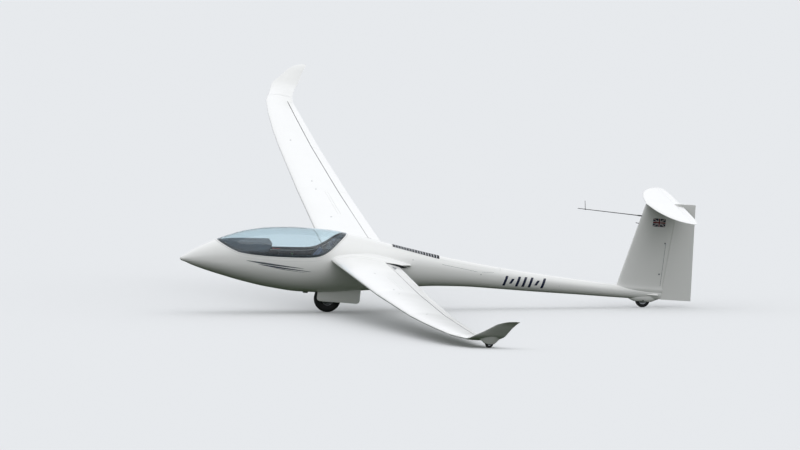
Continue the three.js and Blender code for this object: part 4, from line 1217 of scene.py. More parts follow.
def makeGearLeg():
    axle = (wheels["main"]["centre"].x, wheels["main"]["centre"].z)
    pivot, brace = gear["pivot"], gear["brace"]
    along = Vector((pivot[0] - axle[0], 0, pivot[1] - axle[1]))
    parts = []
    for side in (1, -1):
        low, high = sorted((side * gear["armIn"], side * gear["armOut"]))
        arm = sidePlate(linkOutline(axle, pivot, 0.03, 0.03), low, high)
        for share, radius in ((0.3, 0.013), (0.5, 0.014), (0.7, 0.014)):
            spot = Vector((axle[0], 0, axle[1])) + along * share
            carve(arm, addTube("hole", *barEnds(spot, -0.2, 0.2), radius))
        softenEdges(arm, 0.0018)
        outline = linkOutline(gear["braceFoot"], brace, 0.015, 0.013)
        strut = sidePlate(outline, low + 0.003, high - 0.003)
        weld(arm, softenEdges(strut, 0.0015))
        parts.append(arm)

    def bar(x, z, half, radius):
        return addTube("bar", (x, -half, z), (x, half, z), radius, sides=32, edge=0.0015)

    tie = Vector((axle[0], 0, axle[1])) + along * 0.6
    bars = [
        bar(*pivot, gear["reach"], 0.016), bar(*brace, gear["reach"], 0.012),
        bar(tie.x, tie.z, gear["armIn"] + 0.004, 0.011),
    ]
    leg = weld(parts[0], parts[1], *bars)
    leg.name = "main_gear_fork"
    dress(leg, paintedSteel, "main_gear_leg")
    pin = bar(*axle, 0.082, 0.0118)
    nuts = []
    for side in (1, -1):
        nuts += hexHead(Vector((axle[0], side * gear["armOut"], axle[1])), side, 0.013, 0.0065)
        nuts += hexHead(
            Vector((gear["braceFoot"][0], side * (gear["armOut"] - 0.003), gear["braceFoot"][1])),
            side, 0.008, 0.007,
        )
    dress(joined("main_axle_and_nuts", [pin, *nuts]), steel)
    jaw = boxTool(*brake["caliper"])
    slot = addTube("slot", *barEnds(wheels["main"]["centre"], 0.03, 0.07), brake["slot"], sides=48)
    carve(jaw, slot)
    softenEdges(jaw, 0.0025, 3)
    jaw.name = "main_brake_caliper"
    dress(jaw, castAlloy)


gearDoors = {
    "from": 1.862, "to": 2.438, "y": 0.0995, "bottom": -0.412, "thick": 0.0035, "bulge": 0.006,
    "corner": 0.045, "hinges": (1.93, 2.15, 2.37), "hingeHalf": 0.035,
}


# The hull's lower surface at a distance out from the centre line.
def bellyZ(x, y):
    return waistAt(x) - (waistAt(x) - bottomAt(x)) * sqrt(1 - (y / halfAt(x)) ** 2)


def makeGearDoors():
    door = gearDoors
    rings = []
    for x in steps(door["from"], door["to"], 28):
        top = bellyZ(x, door["y"]) + 0.002
        face = []
        for t in steps(0, 1, 12):
            y = door["y"] + door["bulge"] * sin(pi * t * 0.8)
            face.append((y, top + (door["bottom"] - top) * t))
        rings.append(
            [(x, y + door["thick"], z) for y, z in face] + [(x, y, z) for y, z in reversed(face)]
        )
    panel = loft("gear_door_SIDE_skin", rings)
    outline = roundedOutline((door["from"], door["bottom"]), (door["to"], 0), door["corner"])
    keepInside(panel, sidePlate(outline))
    softenEdges(panel, 0.0008, 1)
    hinges = []
    y, half = door["y"] - 0.002, door["hingeHalf"]
    for x in door["hinges"]:
        slope = bellyZ(x + 0.03, door["y"]) - bellyZ(x - 0.03, door["y"])
        z = bellyZ(x, door["y"]) - 0.001
        a, b = (Vector((x + d, y, z + slope * d / 0.06)) for d in (-half, half))
        hinges.append(addTube("hinge", a, b, 0.0035, sides=14, edge=0.0006))
        leaf = boxTool((x - 0.03, y - 0.0002, z - 0.026), (x + 0.03, y + 0.0018, z - 0.001))
        hinges.append(softenEdges(leaf, 0.0006, 1))
    bothSides(panel, gelcoat, "gear_door_SIDE")
    bothSides(joined("gear_door_hinges_SIDE", hinges), steel)


# The hook below the belly that takes the launching cable.
towRelease = {
    "case": ((1.684, -0.015, -0.335), (1.748, 0.015, -0.291)),
    "mouth": ((1.675, -0.007, -0.345), (1.728, 0.007, -0.306)),
    "ring": Vector((1.706, 0, -0.322)), "ringRadius": 0.0085, "wire": 0.0028,
    "pins": ((1.738, -0.3), (1.738, -0.326)),
}


def makeTowRelease():
    hook = towRelease
    case = boxTool(*hook["case"])
    carve(case, boxTool(*hook["mouth"]))
    softenEdges(case, 0.003, 3)
    wire = [
        (hook["ringRadius"] + hook["wire"] * cos(a), hook["wire"] * sin(a)) for a in circle(12)
    ]
    parts = [case, turned("ring", wire, hook["ring"], 32)]
    for x, z in hook["pins"]:
        parts.append(addTube("pin", (x, -0.0165, z), (x, 0.0165, z), 0.004, sides=16, edge=0.0008))
    dress(joined("tow_release_hook", parts), steel, "tow_release")


tailFairingTable = [  # station, bottom, half width
    (6.07, -0.078, 0.008), (6.12, -0.098, 0.036), (6.19, -0.116, 0.046), (6.33, -0.116, 0.046),
    (6.4, -0.094, 0.032), (6.45, -0.07, 0.008),
]


def makeTailFairing():
    low, half = column(tailFairingTable, 1), column(tailFairingTable, 2)
    fairing = loft("tail_wheel_fairing_skin", [
        [(x, half(x) * sin(a), -0.04 - (0.04 + low(x)) * cos(a))
         for a in circle(48)]
        for x in steps(6.07, 6.45, 38)
    ])
    carve(fairing, boxTool(*tailWheelWell))
    softenEdges(fairing, 0.0012)
    dress(fairing, gelcoat, "tail_wheel_fairing")
    spot = wheels["tail"]["centre"]
    parts = [addTube("tail_axle", *barEnds(spot, -0.036, 0.036), 0.006)]
    for side in (1, -1):
        parts += hexHead(spot + starboard * 0.0445 * side, side, 0.007, 0.005)
    dress(joined("tail_axle", parts), steel)


# Cockpit
def makeLining():
    lining = cockpitSpace(-fuselage["wall"] - 0.0004)
    carve(lining, cockpitSpace(-fuselage["wall"] - 0.003), canopyPrism(canopy["sill"] - 0.004))
    lining.name = "cockpit_lining"
    dress(lining, darkTrim)


cowl = {
    "table": [  # station, half width, top, bottom
        (0.468, 0.13, 0.288, 0.21), (0.578, 0.17, 0.3, 0.2), (0.7, 0.2, 0.307, 0.19),
        (0.9, 0.225, 0.317, 0.182), (1.18, 0.235, 0.331, 0.178),
    ],
    "square": 0.42, "wall": 0.006, "points": 64, "slope": 0.36, "rear": 1.178,
}


def cowlBody(name, shrink, extra=0):
    half, top, bottom = (column(cowl["table"], key) for key in (1, 2, 3))

    def squared(value):
        return copysign(abs(value) ** cowl["square"], value)

    rings = []
    for x in steps(0.468, 1.18, 30):
        middle, tall = (top(x) + bottom(x)) / 2, (top(x) - bottom(x)) / 2
        rings.append([
            (
                x + extra * (1 if x > 0.8 else -1),
                (half(x) - shrink) * squared(sin(a)),
                middle + (tall - shrink) * squared(cos(a)) - (extra if cos(a) < 0 else 0),
            )
            for a in circle(cowl["points"])
        ])
    return loft(name, rings)


# Cuts the hood's rear end to its slant: the top edge lies furthest aft.
def cowlSlant(back=0):
    rear, slope = cowl["rear"] - back, cowl["slope"]
    return sidePlate([
        (rear, 0.34), (rear + 0.02, 0.6), (2, 0.6), (2, -0.2), (rear - slope * 0.54, -0.2),
    ])


def makeCowl():
    hood = cowlBody("instrument_hood", 0)
    fitHull(hood, -canopy["frameDepth"] - 0.003, 0.4, 1.4)
    inner = cowlBody("inner", cowl["wall"], 0.06)
    fitHull(inner, -canopy["frameDepth"] - 0.009, 0.35, 1.5)
    carve(hood, inner, cowlSlant())
    keepInside(hood, canopyPrism(-0.004))
    softenEdges(hood, 0.0025, 3, 35)
    dress(hood, greyTrim, "instrument_cowl", body="canopy")
    lip = cowlBody("instrument_hood_lip", -0.0012)
    fitHull(lip, -canopy["frameDepth"] - 0.002, 0.4, 1.4)
    inner = cowlBody("inner", cowl["wall"] + 0.002, 0.06)
    fitHull(inner, -canopy["frameDepth"] - 0.011, 0.35, 1.5)
    carve(lip, inner, cowlSlant(-0.001))
    keepInside(lip, cowlSlant(0.007))
    softenEdges(lip, 0.001, 2, 35)
    dress(lip, rubber, body="canopy")


panel = {
    "origin": Vector((1.122, 0, 0.18)), "lean": atan2(0.113, 0.308), "thick": 0.003,
    "dials": [  # across, height, radius
        (-0.145, 0.07, 0.031), (-0.073, 0.082, 0.04), (0.073, 0.082, 0.04), (0.145, 0.07, 0.031),
        (0, -0.105, 0.031), (-0.062, -0.045, 0.0285), (0.062, -0.045, 0.0285),
    ],
    "screen": (0, 0.07, 0.056, 0.075),  # across, height, half width, half height
    "knobs": [
        (0.032, -0.005), (-0.032, -0.005), (0.19, 0.03), (-0.19, 0.03), (0.05, -0.145),
        (-0.05, -0.145),
    ],
}
rise = Vector((sin(panel["lean"]), 0, cos(panel["lean"])))
outOfPanel = Vector((cos(panel["lean"]), 0, -sin(panel["lean"])))


def panelPoint(across, height, out=0):
    return panel["origin"] + starboard * across + rise * height + outOfPanel * out


def panelPlate(name, outline, low, high):
    return loft(name, [[panelPoint(a, h, out) for a, h in outline] for out in (low, high)])


def makePanel():
    upper = [(-0.2, 0.02), (-0.214, 0.06), (-0.2, 0.118), (-0.17, 0.137), (-0.1, 0.144)]
    lower = [(-0.085, -0.17), (-0.098, -0.155), (-0.103, -0.075), (-0.125, -0.035), (-0.17, -0.008)]
    port = [*lower, *upper]
    outline = port + [(-a, h) for a, h in reversed(port)]
    board = panelPlate("instrument_panel_board", outline, 0, panel["thick"])
    softenEdges(board, 0.0012)
    box = panelPlate("box", roundedOutline((-0.08, -0.15), (0.08, 0.04), 0.012), -0.05, 0.0005)
    board = joined("instrument_panel_board", [board, box])
    dress(board, darkTrim, "instrument_panel", body="canopy")

    bezels, faces, marks, glasses = [], [], [], []
    for across, height, radius in panel["dials"]:
        def at(out, up=0, over=0):
            return panelPoint(across + over, height + up, out)

        bezel = addTube("bezel", at(0.001), at(0.009), radius, radius * 0.97, 48)
        carve(bezel, addTube("eye", at(0.005), at(0.02), radius * 0.84, radius * 0.88, 48))
        bezels.append(softenEdges(bezel, 0.0008, 2, 35))
        for k in range(4):
            a = pi / 4 + k * pi / 2
            place = radius * 1.1 * sin(a), radius * 1.1 * cos(a)
            bezels.append(addTube("screw", at(0.002, *place), at(0.0045, *place), 0.0022, sides=10))
        faces.append(addTube("face", at(0.0045), at(0.0054), radius * 0.85, sides=40))
        glasses.append(addTube("glass", at(0.0072), at(0.0078), radius * 0.85, sides=40))
        for k in range(21):
            a = radians(-135 + 270 * k / 20)
            size = 0.16 if k % 5 == 0 else 0.09
            ends = [(radius * r * cos(a), radius * r * sin(a)) for r in (0.78 - size, 0.78)]
            marks.append(addTube("tick", *[at(0.0056, u, o) for u, o in ends], 0.0006, sides=4))
        a = radians(-60 + across * 400)
        tip = (radius * 0.66 * cos(a), radius * 0.66 * sin(a))
        tail = (-tip[0] * 0.25, -tip[1] * 0.25)
        needle = at(0.0062, *tail), at(0.0062, *tip)
        marks.append(addTube("needle", *needle, 0.0011, 0.0004, sides=6))
        marks.append(addTube("boss", at(0.0056), at(0.0068), radius * 0.09, sides=16))
    across, height, halfWide, halfTall = panel["screen"]
    low, high = (across - halfWide, height - halfTall), (across + halfWide, height + halfTall)
    case = panelPlate("case", roundedOutline(low, high, 0.007), 0.001, 0.011)
    low, high = (low[0] + 0.009, low[1] + 0.014), (high[0] - 0.009, high[1] - 0.009)
    window = roundedOutline(low, high, 0.002)
    carve(case, panelPlate("window", window, 0.009, 0.02))
    bezels.append(softenEdges(case, 0.001, 2, 35))
    shown = panelPlate("instrument_screen", window, 0.0085, 0.0094)
    dress(shown, screenGlass, body="canopy")
    for a, h in panel["knobs"]:
        knob = addTube("knob", panelPoint(a, h, 0.002), panelPoint(a, h, 0.016), 0.0075, 0.0065, 20)
        bezels.append(softenEdges(knob, 0.0012, 2))
    for name, pieces, material in (
        ("bezels", bezels, hardPlastic), ("faces", faces, dialFace), ("marks", marks, dialMark),
        ("glasses", glasses, acrylic),
    ):
        dress(joined("instrument_" + name, pieces), material, body="canopy")


seat = {
    "line": [
        (1.12, 0, -0.118), (1.19, 0, -0.19), (1.29, 0, -0.222), (1.44, 0, -0.224),
        (1.52, 0, -0.196), (1.6, 0, -0.12), (1.73, 0, 0.04), (1.85, 0, 0.19), (1.905, 0, 0.27),
    ],
    "half": 0.213, "rim": 0.035, "thick": 0.006, "padHalf": 0.168,
    "pads": {"seat_base_pad": (0.07, 0.5), "seat_back_pad": (0.53, 0.985)},
    "padThick": 0.026, "cap": 0.01, "voxel": 0.005, "pressure": 4,
}
seatLine = smoothLine(seat["line"], 120)
seatTree = KDTree(len(seatLine))
for number, place in enumerate(seatLine):
    seatTree.insert(place, number)
seatTree.balance()


# A place on the seat: share of the way from its front lip to its head, across, and height over it.
def seatPoint(share, across, over):
    spot = max(0, min(119.999, share * 120))
    k = int(spot)
    place = seatLine[k].lerp(seatLine[k + 1], spot - k)
    return place + starboard * across + upNormal(share) * over


def upNormal(share):
    k = max(1, min(118, round(share * 120)))
    along = seatLine[k + 1] - seatLine[k - 1]
    return Vector((-along.z, 0, along.x)).normalized()


def makeSeatPan():
    rings = []
    for y in steps(-seat["half"], seat["half"], 32):
        curl = seat["rim"] * max(0, (abs(y) - 0.15) / (seat["half"] - 0.15)) ** 2
        shares = steps(0, 1, 60)
        rings.append(
            [seatPoint(t, y, curl - 0.0005) for t in shares]
            + [seatPoint(t, y, curl - 0.0005 - seat["thick"]) for t in reversed(shares)]
        )
    pan = loft("seat_pan_shell", rings)
    fitHull(pan, -fuselage["wall"] - 0.0035, 0.9, 2.2)
    carve(pan, sidePlate(roundedOutline((1.0, -0.4), (1.31, 0.2), 0.01), -0.042, 0.042))
    softenEdges(pan, 0.0012)
    dress(pan, darkTrim, "seat_pan")


# Cloth under pressure, run for twenty frames: the pad swells between its seams.
def swell(piece, voxel, pressure, cap, held):
    applyModifier(piece, "REMESH", mode="VOXEL", voxel_size=voxel)
    before = [vert.co.copy() for vert in piece.data.vertices]
    selectOnly(piece)
    modifier = piece.modifiers.new("cloth", "CLOTH")
    modifier.settings.use_pressure = True
    modifier.settings.uniform_pressure_force = pressure
    modifier.settings.effector_weights.gravity = 0
    modifier.settings.quality = 5
    modifier.point_cache.frame_start, modifier.point_cache.frame_end = 1, 20
    for number in range(1, 21):
        bpy.context.scene.frame_set(number)
    bpy.ops.object.modifier_apply(modifier=modifier.name)
    for vert, start in zip(piece.data.vertices, before):
        move = (vert.co - start) * held(start)
        vert.co = start + move * min(1, cap / max(1e-9, move.length))
    bpy.context.scene.frame_set(1)


def makePads():
    for name, (start, end) in seat["pads"].items():
        rings = []
        for y in steps(-1, 1, 24):
            edge = (1 - abs(y) ** 6) ** 0.5
            shares = steps(0, 1, 40)
            top, bottom = [], []
            for t in shares:
                crown = max(0, 1 - abs(2 * t - 1) ** 8) ** 0.5 * edge
                share = start + (end - start) * t
                top.append(seatPoint(share, y * seat["padHalf"], 0.004 + seat["padThick"] * crown))
                bottom.append(seatPoint(share, y * seat["padHalf"], 0.003))
            rings.append(top + bottom[::-1])
        pad = loft(name, rings)
        fitHull(pad, -fuselage["wall"] - 0.006, 0.9, 2.2)
        if name == "seat_base_pad":
            carve(pad, sidePlate(roundedOutline((1.0, -0.4), (1.325, 0.2), 0.02), -0.055, 0.055))

        def nearest(point):
            return seatTree.find((point.x, 0, point.z))[1] / 120

        def over(point):
            share = nearest(point)
            return (Vector((point.x, 0, point.z)) - seatPoint(share, 0, 0)).dot(upNormal(share))

        swell(
            pad, seat["voxel"], seat["pressure"], seat["cap"],
            lambda point: max(0, min(1, (over(point) - 0.006) / 0.008)),
        )
        seams = [start + (end - start) * t for t in (0.25, 0.5, 0.75)]
        for vert in pad.data.vertices:
            share, height = nearest(vert.co), over(vert.co)
            lift = max(0, min(1, (height - 0.008) / 0.01))
            sink = sum(exp(-((share - seam) * 1.15 / 0.009) ** 2) for seam in seams)
            sink += exp(-((abs(vert.co.y) - 0.118) / 0.006) ** 2)
            vert.co -= upNormal(share) * 0.006 * lift * min(1, sink)
        applyModifier(pad, "SUBSURF", levels=1, render_levels=1)
        dress(pad, seatCloth, "seat_cushion", smooth=60)


bulkheadUp = (fuselage["bulkheadHigh"] - fuselage["bulkheadLow"]).normalized()
bulkheadOut = Vector((-bulkheadUp.z, 0, bulkheadUp.x))


# A place in front of the bulkhead: height of its foot, distance up the slope, across, and ahead.
def wallPoint(height, up, across, ahead):
    share = (height - fuselage["bulkheadLow"].z) / 0.8
    foot = fuselage["bulkheadLow"].lerp(fuselage["bulkheadHigh"], share)
    return Vector((foot.x, 0, height)) + bulkheadUp * up + starboard * across + bulkheadOut * ahead


headrest = {
    "height": 0.33, "half": (0.083, 0.054), "corner": 0.025, "voxel": 0.004, "cap": 0.006,
    "profile": [  # distance ahead of the bulkhead, inset
        (0.0492, 0.012), (0.054, 0.003), (0.066, 0), (0.078, 0.003), (0.086, 0.012),
    ],
}
bridgeFold = [  # station, height: a folded plate between the shelf and the seat's top edge
    (1.966, 0.2595), (1.918, 0.256), (1.899, 0.228), (1.9007, 0.2269), (1.9192, 0.2542),
    (1.9662, 0.2575),
]


def makeShelf():
    outline = roundedOutline((-0.3, 0), (0.3, 0.4), 0.02)
    shelf = loft("rear_shelf_moulding", [
        [wallPoint(0.24, h, a, out) for a, h in outline] for out in (0.004, 0.0483)
    ])
    fitHull(shelf, -canopy["frameDepth"] - 0.005, 1.5, 2.4)
    softenEdges(shelf, 0.008, 4, 30)
    dress(shelf, greyTrim, "rear_shelf")
    bridge = loft("seat_shelf_bridge", [
        [(x, y, z) for x, z in bridgeFold] for y in steps(-0.24, 0.24, 8)
    ])
    fitHull(bridge, -fuselage["wall"] - 0.004, 1.6, 2.4)
    dress(bridge, darkTrim)
    pad = headrest
    wide, tall = pad["half"]
    outline = roundedOutline((-wide, -tall), (wide, tall), pad["corner"])
    rest = loft("headrest_pad", [
        [wallPoint(pad["height"], h * (1 - inset / tall), a * (1 - inset / wide), out)
         for a, h in outline]
        for out, inset in pad["profile"]
    ])

    def ahead(point, out):
        return point - wallPoint(pad["height"], 0, 0, out)

    swell(
        rest, pad["voxel"], seat["pressure"], pad["cap"],
        lambda point: 1 if ahead(point, 0.056).dot(bulkheadOut) > 0 else 0,
    )
    for vert in rest.data.vertices:
        local = ahead(vert.co, 0.06)
        if local.dot(bulkheadOut) > 0:
            sink = exp(-(local.dot(bulkheadUp) / 0.005) ** 2)
            vert.co -= bulkheadOut * 0.004 * sink
    applyModifier(rest, "SUBSURF", levels=1, render_levels=1)
    dress(rest, seatCloth, "headrest", smooth=60)


# A flat strap along points on the seat, each with its width.
def strap(name, route, wide=0.045, thick=0.0018):
    rings = []
    last = len(route) - 1
    for i, (point, normal) in enumerate(route):
        along = (route[min(i + 1, last)][0] - route[max(i - 1, 0)][0]).normalized()
        across = along.cross(normal).normalized() * wide / 2
        up = normal * thick / 2
        low, high = point - up, point + up
        rings.append([low - across, low + across, high + across, high - across])
    return loft(name, rings)


harness = {  # shares of the way up the seat, and distances out from its middle, from end to end
    "shoulder": ((0.985, 0.075), (0.505, 0.02)), "lap": ((0.55, 0.185), (0.47, 0.03)),
    "buckle": 0.47, "buckleRadius": 0.032, "knobRadius": 0.023, "overPad": 0.0145,
}


def makeHarness():
    padTop = seat["padThick"] + harness["overPad"]
    buckle = (harness["buckle"], 0, padTop + 0.012)
    straps, fittings = [], []
    for side in (1, -1):
        for kind, count, bow in (("shoulder", 30, 2.2), ("lap", 24, 1)):
            (high, out), (low, near) = harness[kind]
            route = []
            for t in steps(0, 1, count):
                share = high + (low - high) * t
                across = side * (out + (near - out) * t**bow)
                if kind == "shoulder":
                    over = padTop + 0.01 * t**3
                else:
                    over = 0.01 + (padTop + 0.006) * min(1, t * 2.6) ** 0.6
                route.append((seatPoint(share, across, over), upNormal(share)))
            straps.append(strap(kind + "_strap", route))
        spot = route[0][0]
        plate = boxTool(spot - Vector((0.018, 0.002, 0.018)), spot + Vector((0.018, 0.002, 0.018)))
        fittings.append(softenEdges(plate, 0.001, 2))
    up = upNormal(buckle[0])
    spot = seatPoint(*buckle)
    fittings += [
        addTube(name, spot + up * low, spot + up * high, radius, radius - 0.002, 40, 0.002)
        for name, low, high, radius in (
            ("buckle", -0.008, 0.006, harness["buckleRadius"]),
            ("knob", 0.005, 0.012, harness["knobRadius"]),
        )
    ]
    grip = boxTool((-0.02, -0.004, 0), (0.02, 0.004, 0.006))
    facing = up.to_track_quat("Z", "Y").to_matrix().to_4x4()
    grip.data.transform(Matrix.Translation(spot + up * 0.011) @ facing)
    fittings.append(softenEdges(grip, 0.002, 2))
    dress(joined("harness_straps", straps), webbing)
    dress(joined("harness_buckle", fittings), steel)


stick = {
    "path": [
        (1.262, 0, -0.215), (1.256, 0, -0.16), (1.243, 0, -0.09), (1.238, 0, -0.05),
        (1.236, 0, -0.03),
    ],
    "grip": [  # share of the way up the grip, half length fore and aft, half width
        (0, 0.0135, 0.013), (0.06, 0.017, 0.015), (0.2, 0.0165, 0.0145), (0.3, 0.0185, 0.0155),
        (0.42, 0.0165, 0.0145), (0.54, 0.0185, 0.0155), (0.66, 0.017, 0.015), (0.8, 0.0205, 0.0175),
        (0.93, 0.0215, 0.0185), (1, 0.014, 0.012),
    ],
    "gripLow": Vector((1.236, 0, -0.038)), "gripHigh": Vector((1.219, 0, 0.068)),
    "gaiterFoot": Vector((1.268, 0, -0.272)), "gaiterNeck": Vector((1.2605, 0, -0.197)),
}


def makeStick():
    tube = addPipe("stick_tube", smoothLine(stick["path"], 24), lambda t: 0.0095, 20)
    dress(tube, steel)
    low, high = stick["gripLow"], stick["gripHigh"]
    axis = (high - low).normalized()
    ahead = axis.cross(starboard).normalized()
    long, wide = column(stick["grip"], 1), column(stick["grip"], 2)
    grip = loft("control_stick_grip", [
        [low.lerp(high, t) + ahead * long(t) * cos(a) + starboard * wide(t) * sin(a)
         for a in circle(32)]
        for t in steps(0, 1, 40)
    ])
    softenEdges(grip, 0.002, 3, 50)
    dress(grip, hardPlastic, "control_stick")
    ends = high - axis * 0.004, high + axis * 0.004
    button = addTube("stick_button", *ends, 0.0055, 0.005, 20, 0.001)
    dress(button, redPlastic)
    foot, neck = stick["gaiterFoot"], stick["gaiterNeck"]
    boot = loft("stick_gaiter", [
        [foot.lerp(neck, t) + Vector((cos(a), sin(a), 0))
         * (0.038 - 0.024 * t**0.8 + 0.0035 * sin(t * pi * 9))
         for a in circle(40)]
        for t in steps(0, 1, 44)
    ])
    dress(boot, gaiterLeather, smooth=60)


pedals = {
    "x": 0.5, "z": -0.05, "apart": 0.092, "bar": 0.008, "barHalf": 0.168, "half": 0.042,
    "plate": ((0.4865, -0.097), (0.494, 0.011)), "windows": (-0.075, -0.05, -0.025),
}


def makePedals():
    x, z = pedals["x"], pedals["z"]
    half = pedals["barHalf"]
    parts = [addTube("bar", (x, -half, z), (x, half, z), pedals["bar"], sides=24)]
    for side in (1, -1):
        y, half = side * pedals["apart"], pedals["half"]
        plate = sidePlate(roundedOutline(*pedals["plate"], 0.003, 3), y - half, y + half)
        for low in pedals["windows"]:
            carve(plate, boxTool((0.47, y - 0.028, low - 0.006), (0.51, y + 0.028, low + 0.006)))
        parts.append(softenEdges(plate, 0.0015, 2))
        heel = boxTool((0.494, y - 0.04, -0.1), (0.53, y + 0.04, -0.095))
        parts.append(softenEdges(heel, 0.0015, 2))
        for ear in (y - 0.03, y + 0.03):
            outline = linkOutline((x, z), (0.489, -0.09), 0.013, 0.006)
            parts.append(softenEdges(sidePlate(outline, ear - 0.002, ear + 0.002), 0.0006, 1))
    dress(joined("rudder_pedal_set", parts), castAlloy, "rudder_pedals", slot="steel")


console = {
    "low": (1.215, 0.061), "high": (1.64, 0.0955), "corner": 0.012, "inner": 0.16, "outer": 0.33,
    "slotAt": 0.205,
    "levers": [  # side, station, colour, slot length, lean
        (-1, 1.3, bluePlastic, 0.16, 0.25), (-1, 1.52, hardPlastic, 0.12, -0.2),
        (1, 1.33, hardPlastic, 0.14, 0.15), (1, 1.52, greenPlastic, 0.07, 0),
    ],
}


def makeConsoles():
    outline = roundedOutline(console["low"], console["high"], console["corner"])
    blank = sidePlate(outline, console["inner"], console["outer"])
    fitHull(blank, -fuselage["wall"] - 0.0036, 1, 1.8)
    softenEdges(blank, 0.004, 3, 35)
    blank.name = "side_console_SIDE_skin"
    bothSides(blank, greyTrim, "side_console_SIDE")
    slots = []
    for number, (side, x, colour, long, lean) in enumerate(console["levers"]):
        y = side * console["slotAt"]
        start, end = x - long / 2, x + long / 2
        slot = boxTool((start, y - 0.008, 0.094), (end, y + 0.008, 0.0975))
        carve(slot, boxTool((start + 0.006, y - 0.003, 0.0945), (end - 0.006, y + 0.003, 0.1)))
        slots.append(softenEdges(slot, 0.0008, 1))
        foot = Vector((x, y, 0.09))
        head = foot + Vector((lean * 0.06, 0, 0.05))
        slots.append(addTube("arm", foot, head, 0.004, sides=14))
        knob = addPipe(f"lever_handle_{number}", [
            head + starboard * 0.02 * (t * 2 - 1) for t in steps(0, 1, 14)
        ], lambda t: 0.0035 + 0.0055 * sin(pi * t) ** 0.4, 20)
        dress(knob, colour, smooth=60)
    dress(joined("lever_slots", slots), steel)


# The arms that carry the canopy forward and up, with their cross bars, pivot and handles.
canopyArm = {
    "x": 0.3, "z": 0.148, "y": 0.06, "thick": 0.011,
    "outline": [
        (0.29, 0.136), (0.34, 0.102), (0.5, 0.052), (0.552, 0.052), (0.578, 0.088), (0.578, 0.24),
        (0.556, 0.24), (0.548, 0.098), (0.508, 0.078), (0.346, 0.132), (0.312, 0.156),
    ],
}


def makeCanopyArms():
    arm = canopyArm
    pivot = Vector((arm["x"], 0, arm["z"]))
    parts = []
    for side in (1, -1):
        low, high = side * arm["y"] - arm["thick"] / 2, side * arm["y"] + arm["thick"] / 2
        bar = sidePlate(arm["outline"], low, high)
        weld(bar, addTube("eye", *barEnds(pivot, low - 0.001, high + 0.001), 0.0155))
        carve(bar, addTube("bore", *barEnds(pivot, low - 0.01, high + 0.01), 0.0066))
        parts.append(softenEdges(bar, 0.0014))
    cross = boxTool((0.556, -0.066, 0.224), (0.576, 0.066, 0.268))
    parts.append(softenEdges(cross, 0.003, 3))
    wide = boxTool((0.556, -0.19, 0.268), (0.576, 0.19, 0.283))
    fitHull(wide, -canopy["frameDepth"] + 0.001, 0.4, 0.8)
    parts.append(softenEdges(wide, 0.002, 2))
    frameSet = joined("canopy_arms", parts)
    dress(frameSet, paintedSteel, "canopy_frame", body="canopy")
    pins = []
    for side in (1, -1):
        pins += hexHead(pivot + starboard * side * (arm["y"] + 0.0075), side, 0.0085, 0.006)
    pins.append(addTube("tube", *barEnds(pivot, -0.092, 0.092), 0.0058))
    dress(joined("canopy_pivot", pins), steel)
    handles = []
    x, z = 1.27, edgeAt(1.27) + 0.008
    reach = halfAt(x) * sqrt(1 - ((z - waistAt(x)) / (topAt(x) - waistAt(x))) ** 2)
    for side in (1, -1):
        def at(aft, inward, up=0):
            return Vector((x + aft, side * (reach - 0.031 - inward), z + up))

        handles += [
            addTube("base", at(0, -0.008), at(0, 0.004), 0.012, sides=24, edge=0.0015),
            addPipe("lever", smoothLine([
                at(0, 0.004), at(0.02, 0.012, 0.002), at(0.05, 0.013, 0.003),
                at(0.085, 0.01, 0.004),
            ], 16), lambda t: 0.0048 + 0.0012 * t, 14),
        ]
    dress(joined("canopy_handles", handles), redPlastic, body="canopy", smooth=50)


# Markings, seals, painted shade strips and small fittings
# The angle on the hull's section at a height, to port or starboard.
def angleAt(x, z, side):
    waist = waistAt(x)
    reach = topAt(x) - waist if z > waist else waist - bottomAt(x)
    return side * acos(max(-1, min(1, (z - waist) / reach)))


# A thin closed patch on a surface: point gives a place on it from a station, a spread and a lift.
def skinPatch(name, point, stations, spread, lift, depth, count):
    rings = []
    for station in stations:
        across = steps(*spread(station), count)
        rings.append(
            [point(station, place, lift) for place in across]
            + [point(station, place, -depth) for place in reversed(across)]
        )
    return loft(name, rings)


def hullPatch(name, stations, spread, lift=0.0005, depth=0.001, count=8):
    return skinPatch(name, hullPoint, stations, spread, lift, depth, count)


def wingPatch(name, stations, spread, side=1, lift=0.0005, depth=0.0005, count=4):
    def point(y, share, out):
        return wingPoint(y, share, side, out)

    return skinPatch(name, point, stations, spread, lift, depth, count)


sideStripes = [  # from station, to station, centre height there and there, half depth, vinyl
    (0.84, 1.62, 0.09, 0.046, 0.016, "grey"),
    (1.0, 1.72, 0.056, 0.01, 0.012, "navy"),
    (1.2, 1.66, 0.026, -0.008, 0.0045, "grey"),
]
boomBars = {
    "from": 4.33, "pitch": 0.086, "count": 7, "short": (1, 5), "wide": 0.034, "slant": 0.038,
    "low": -0.016, "high": 0.118,
}


# Fine seams on the boom: stations from and to, heights there, half width. Ports: small plugs.
hullSeams = [(3.487, 3.977, 0.208, 0.1424, 0.0013), (4.037, 4.2, 0.1424, 0.1493, 0.001)]
hullPorts = [(3.087, 0.243), (4.027, 0.112)]


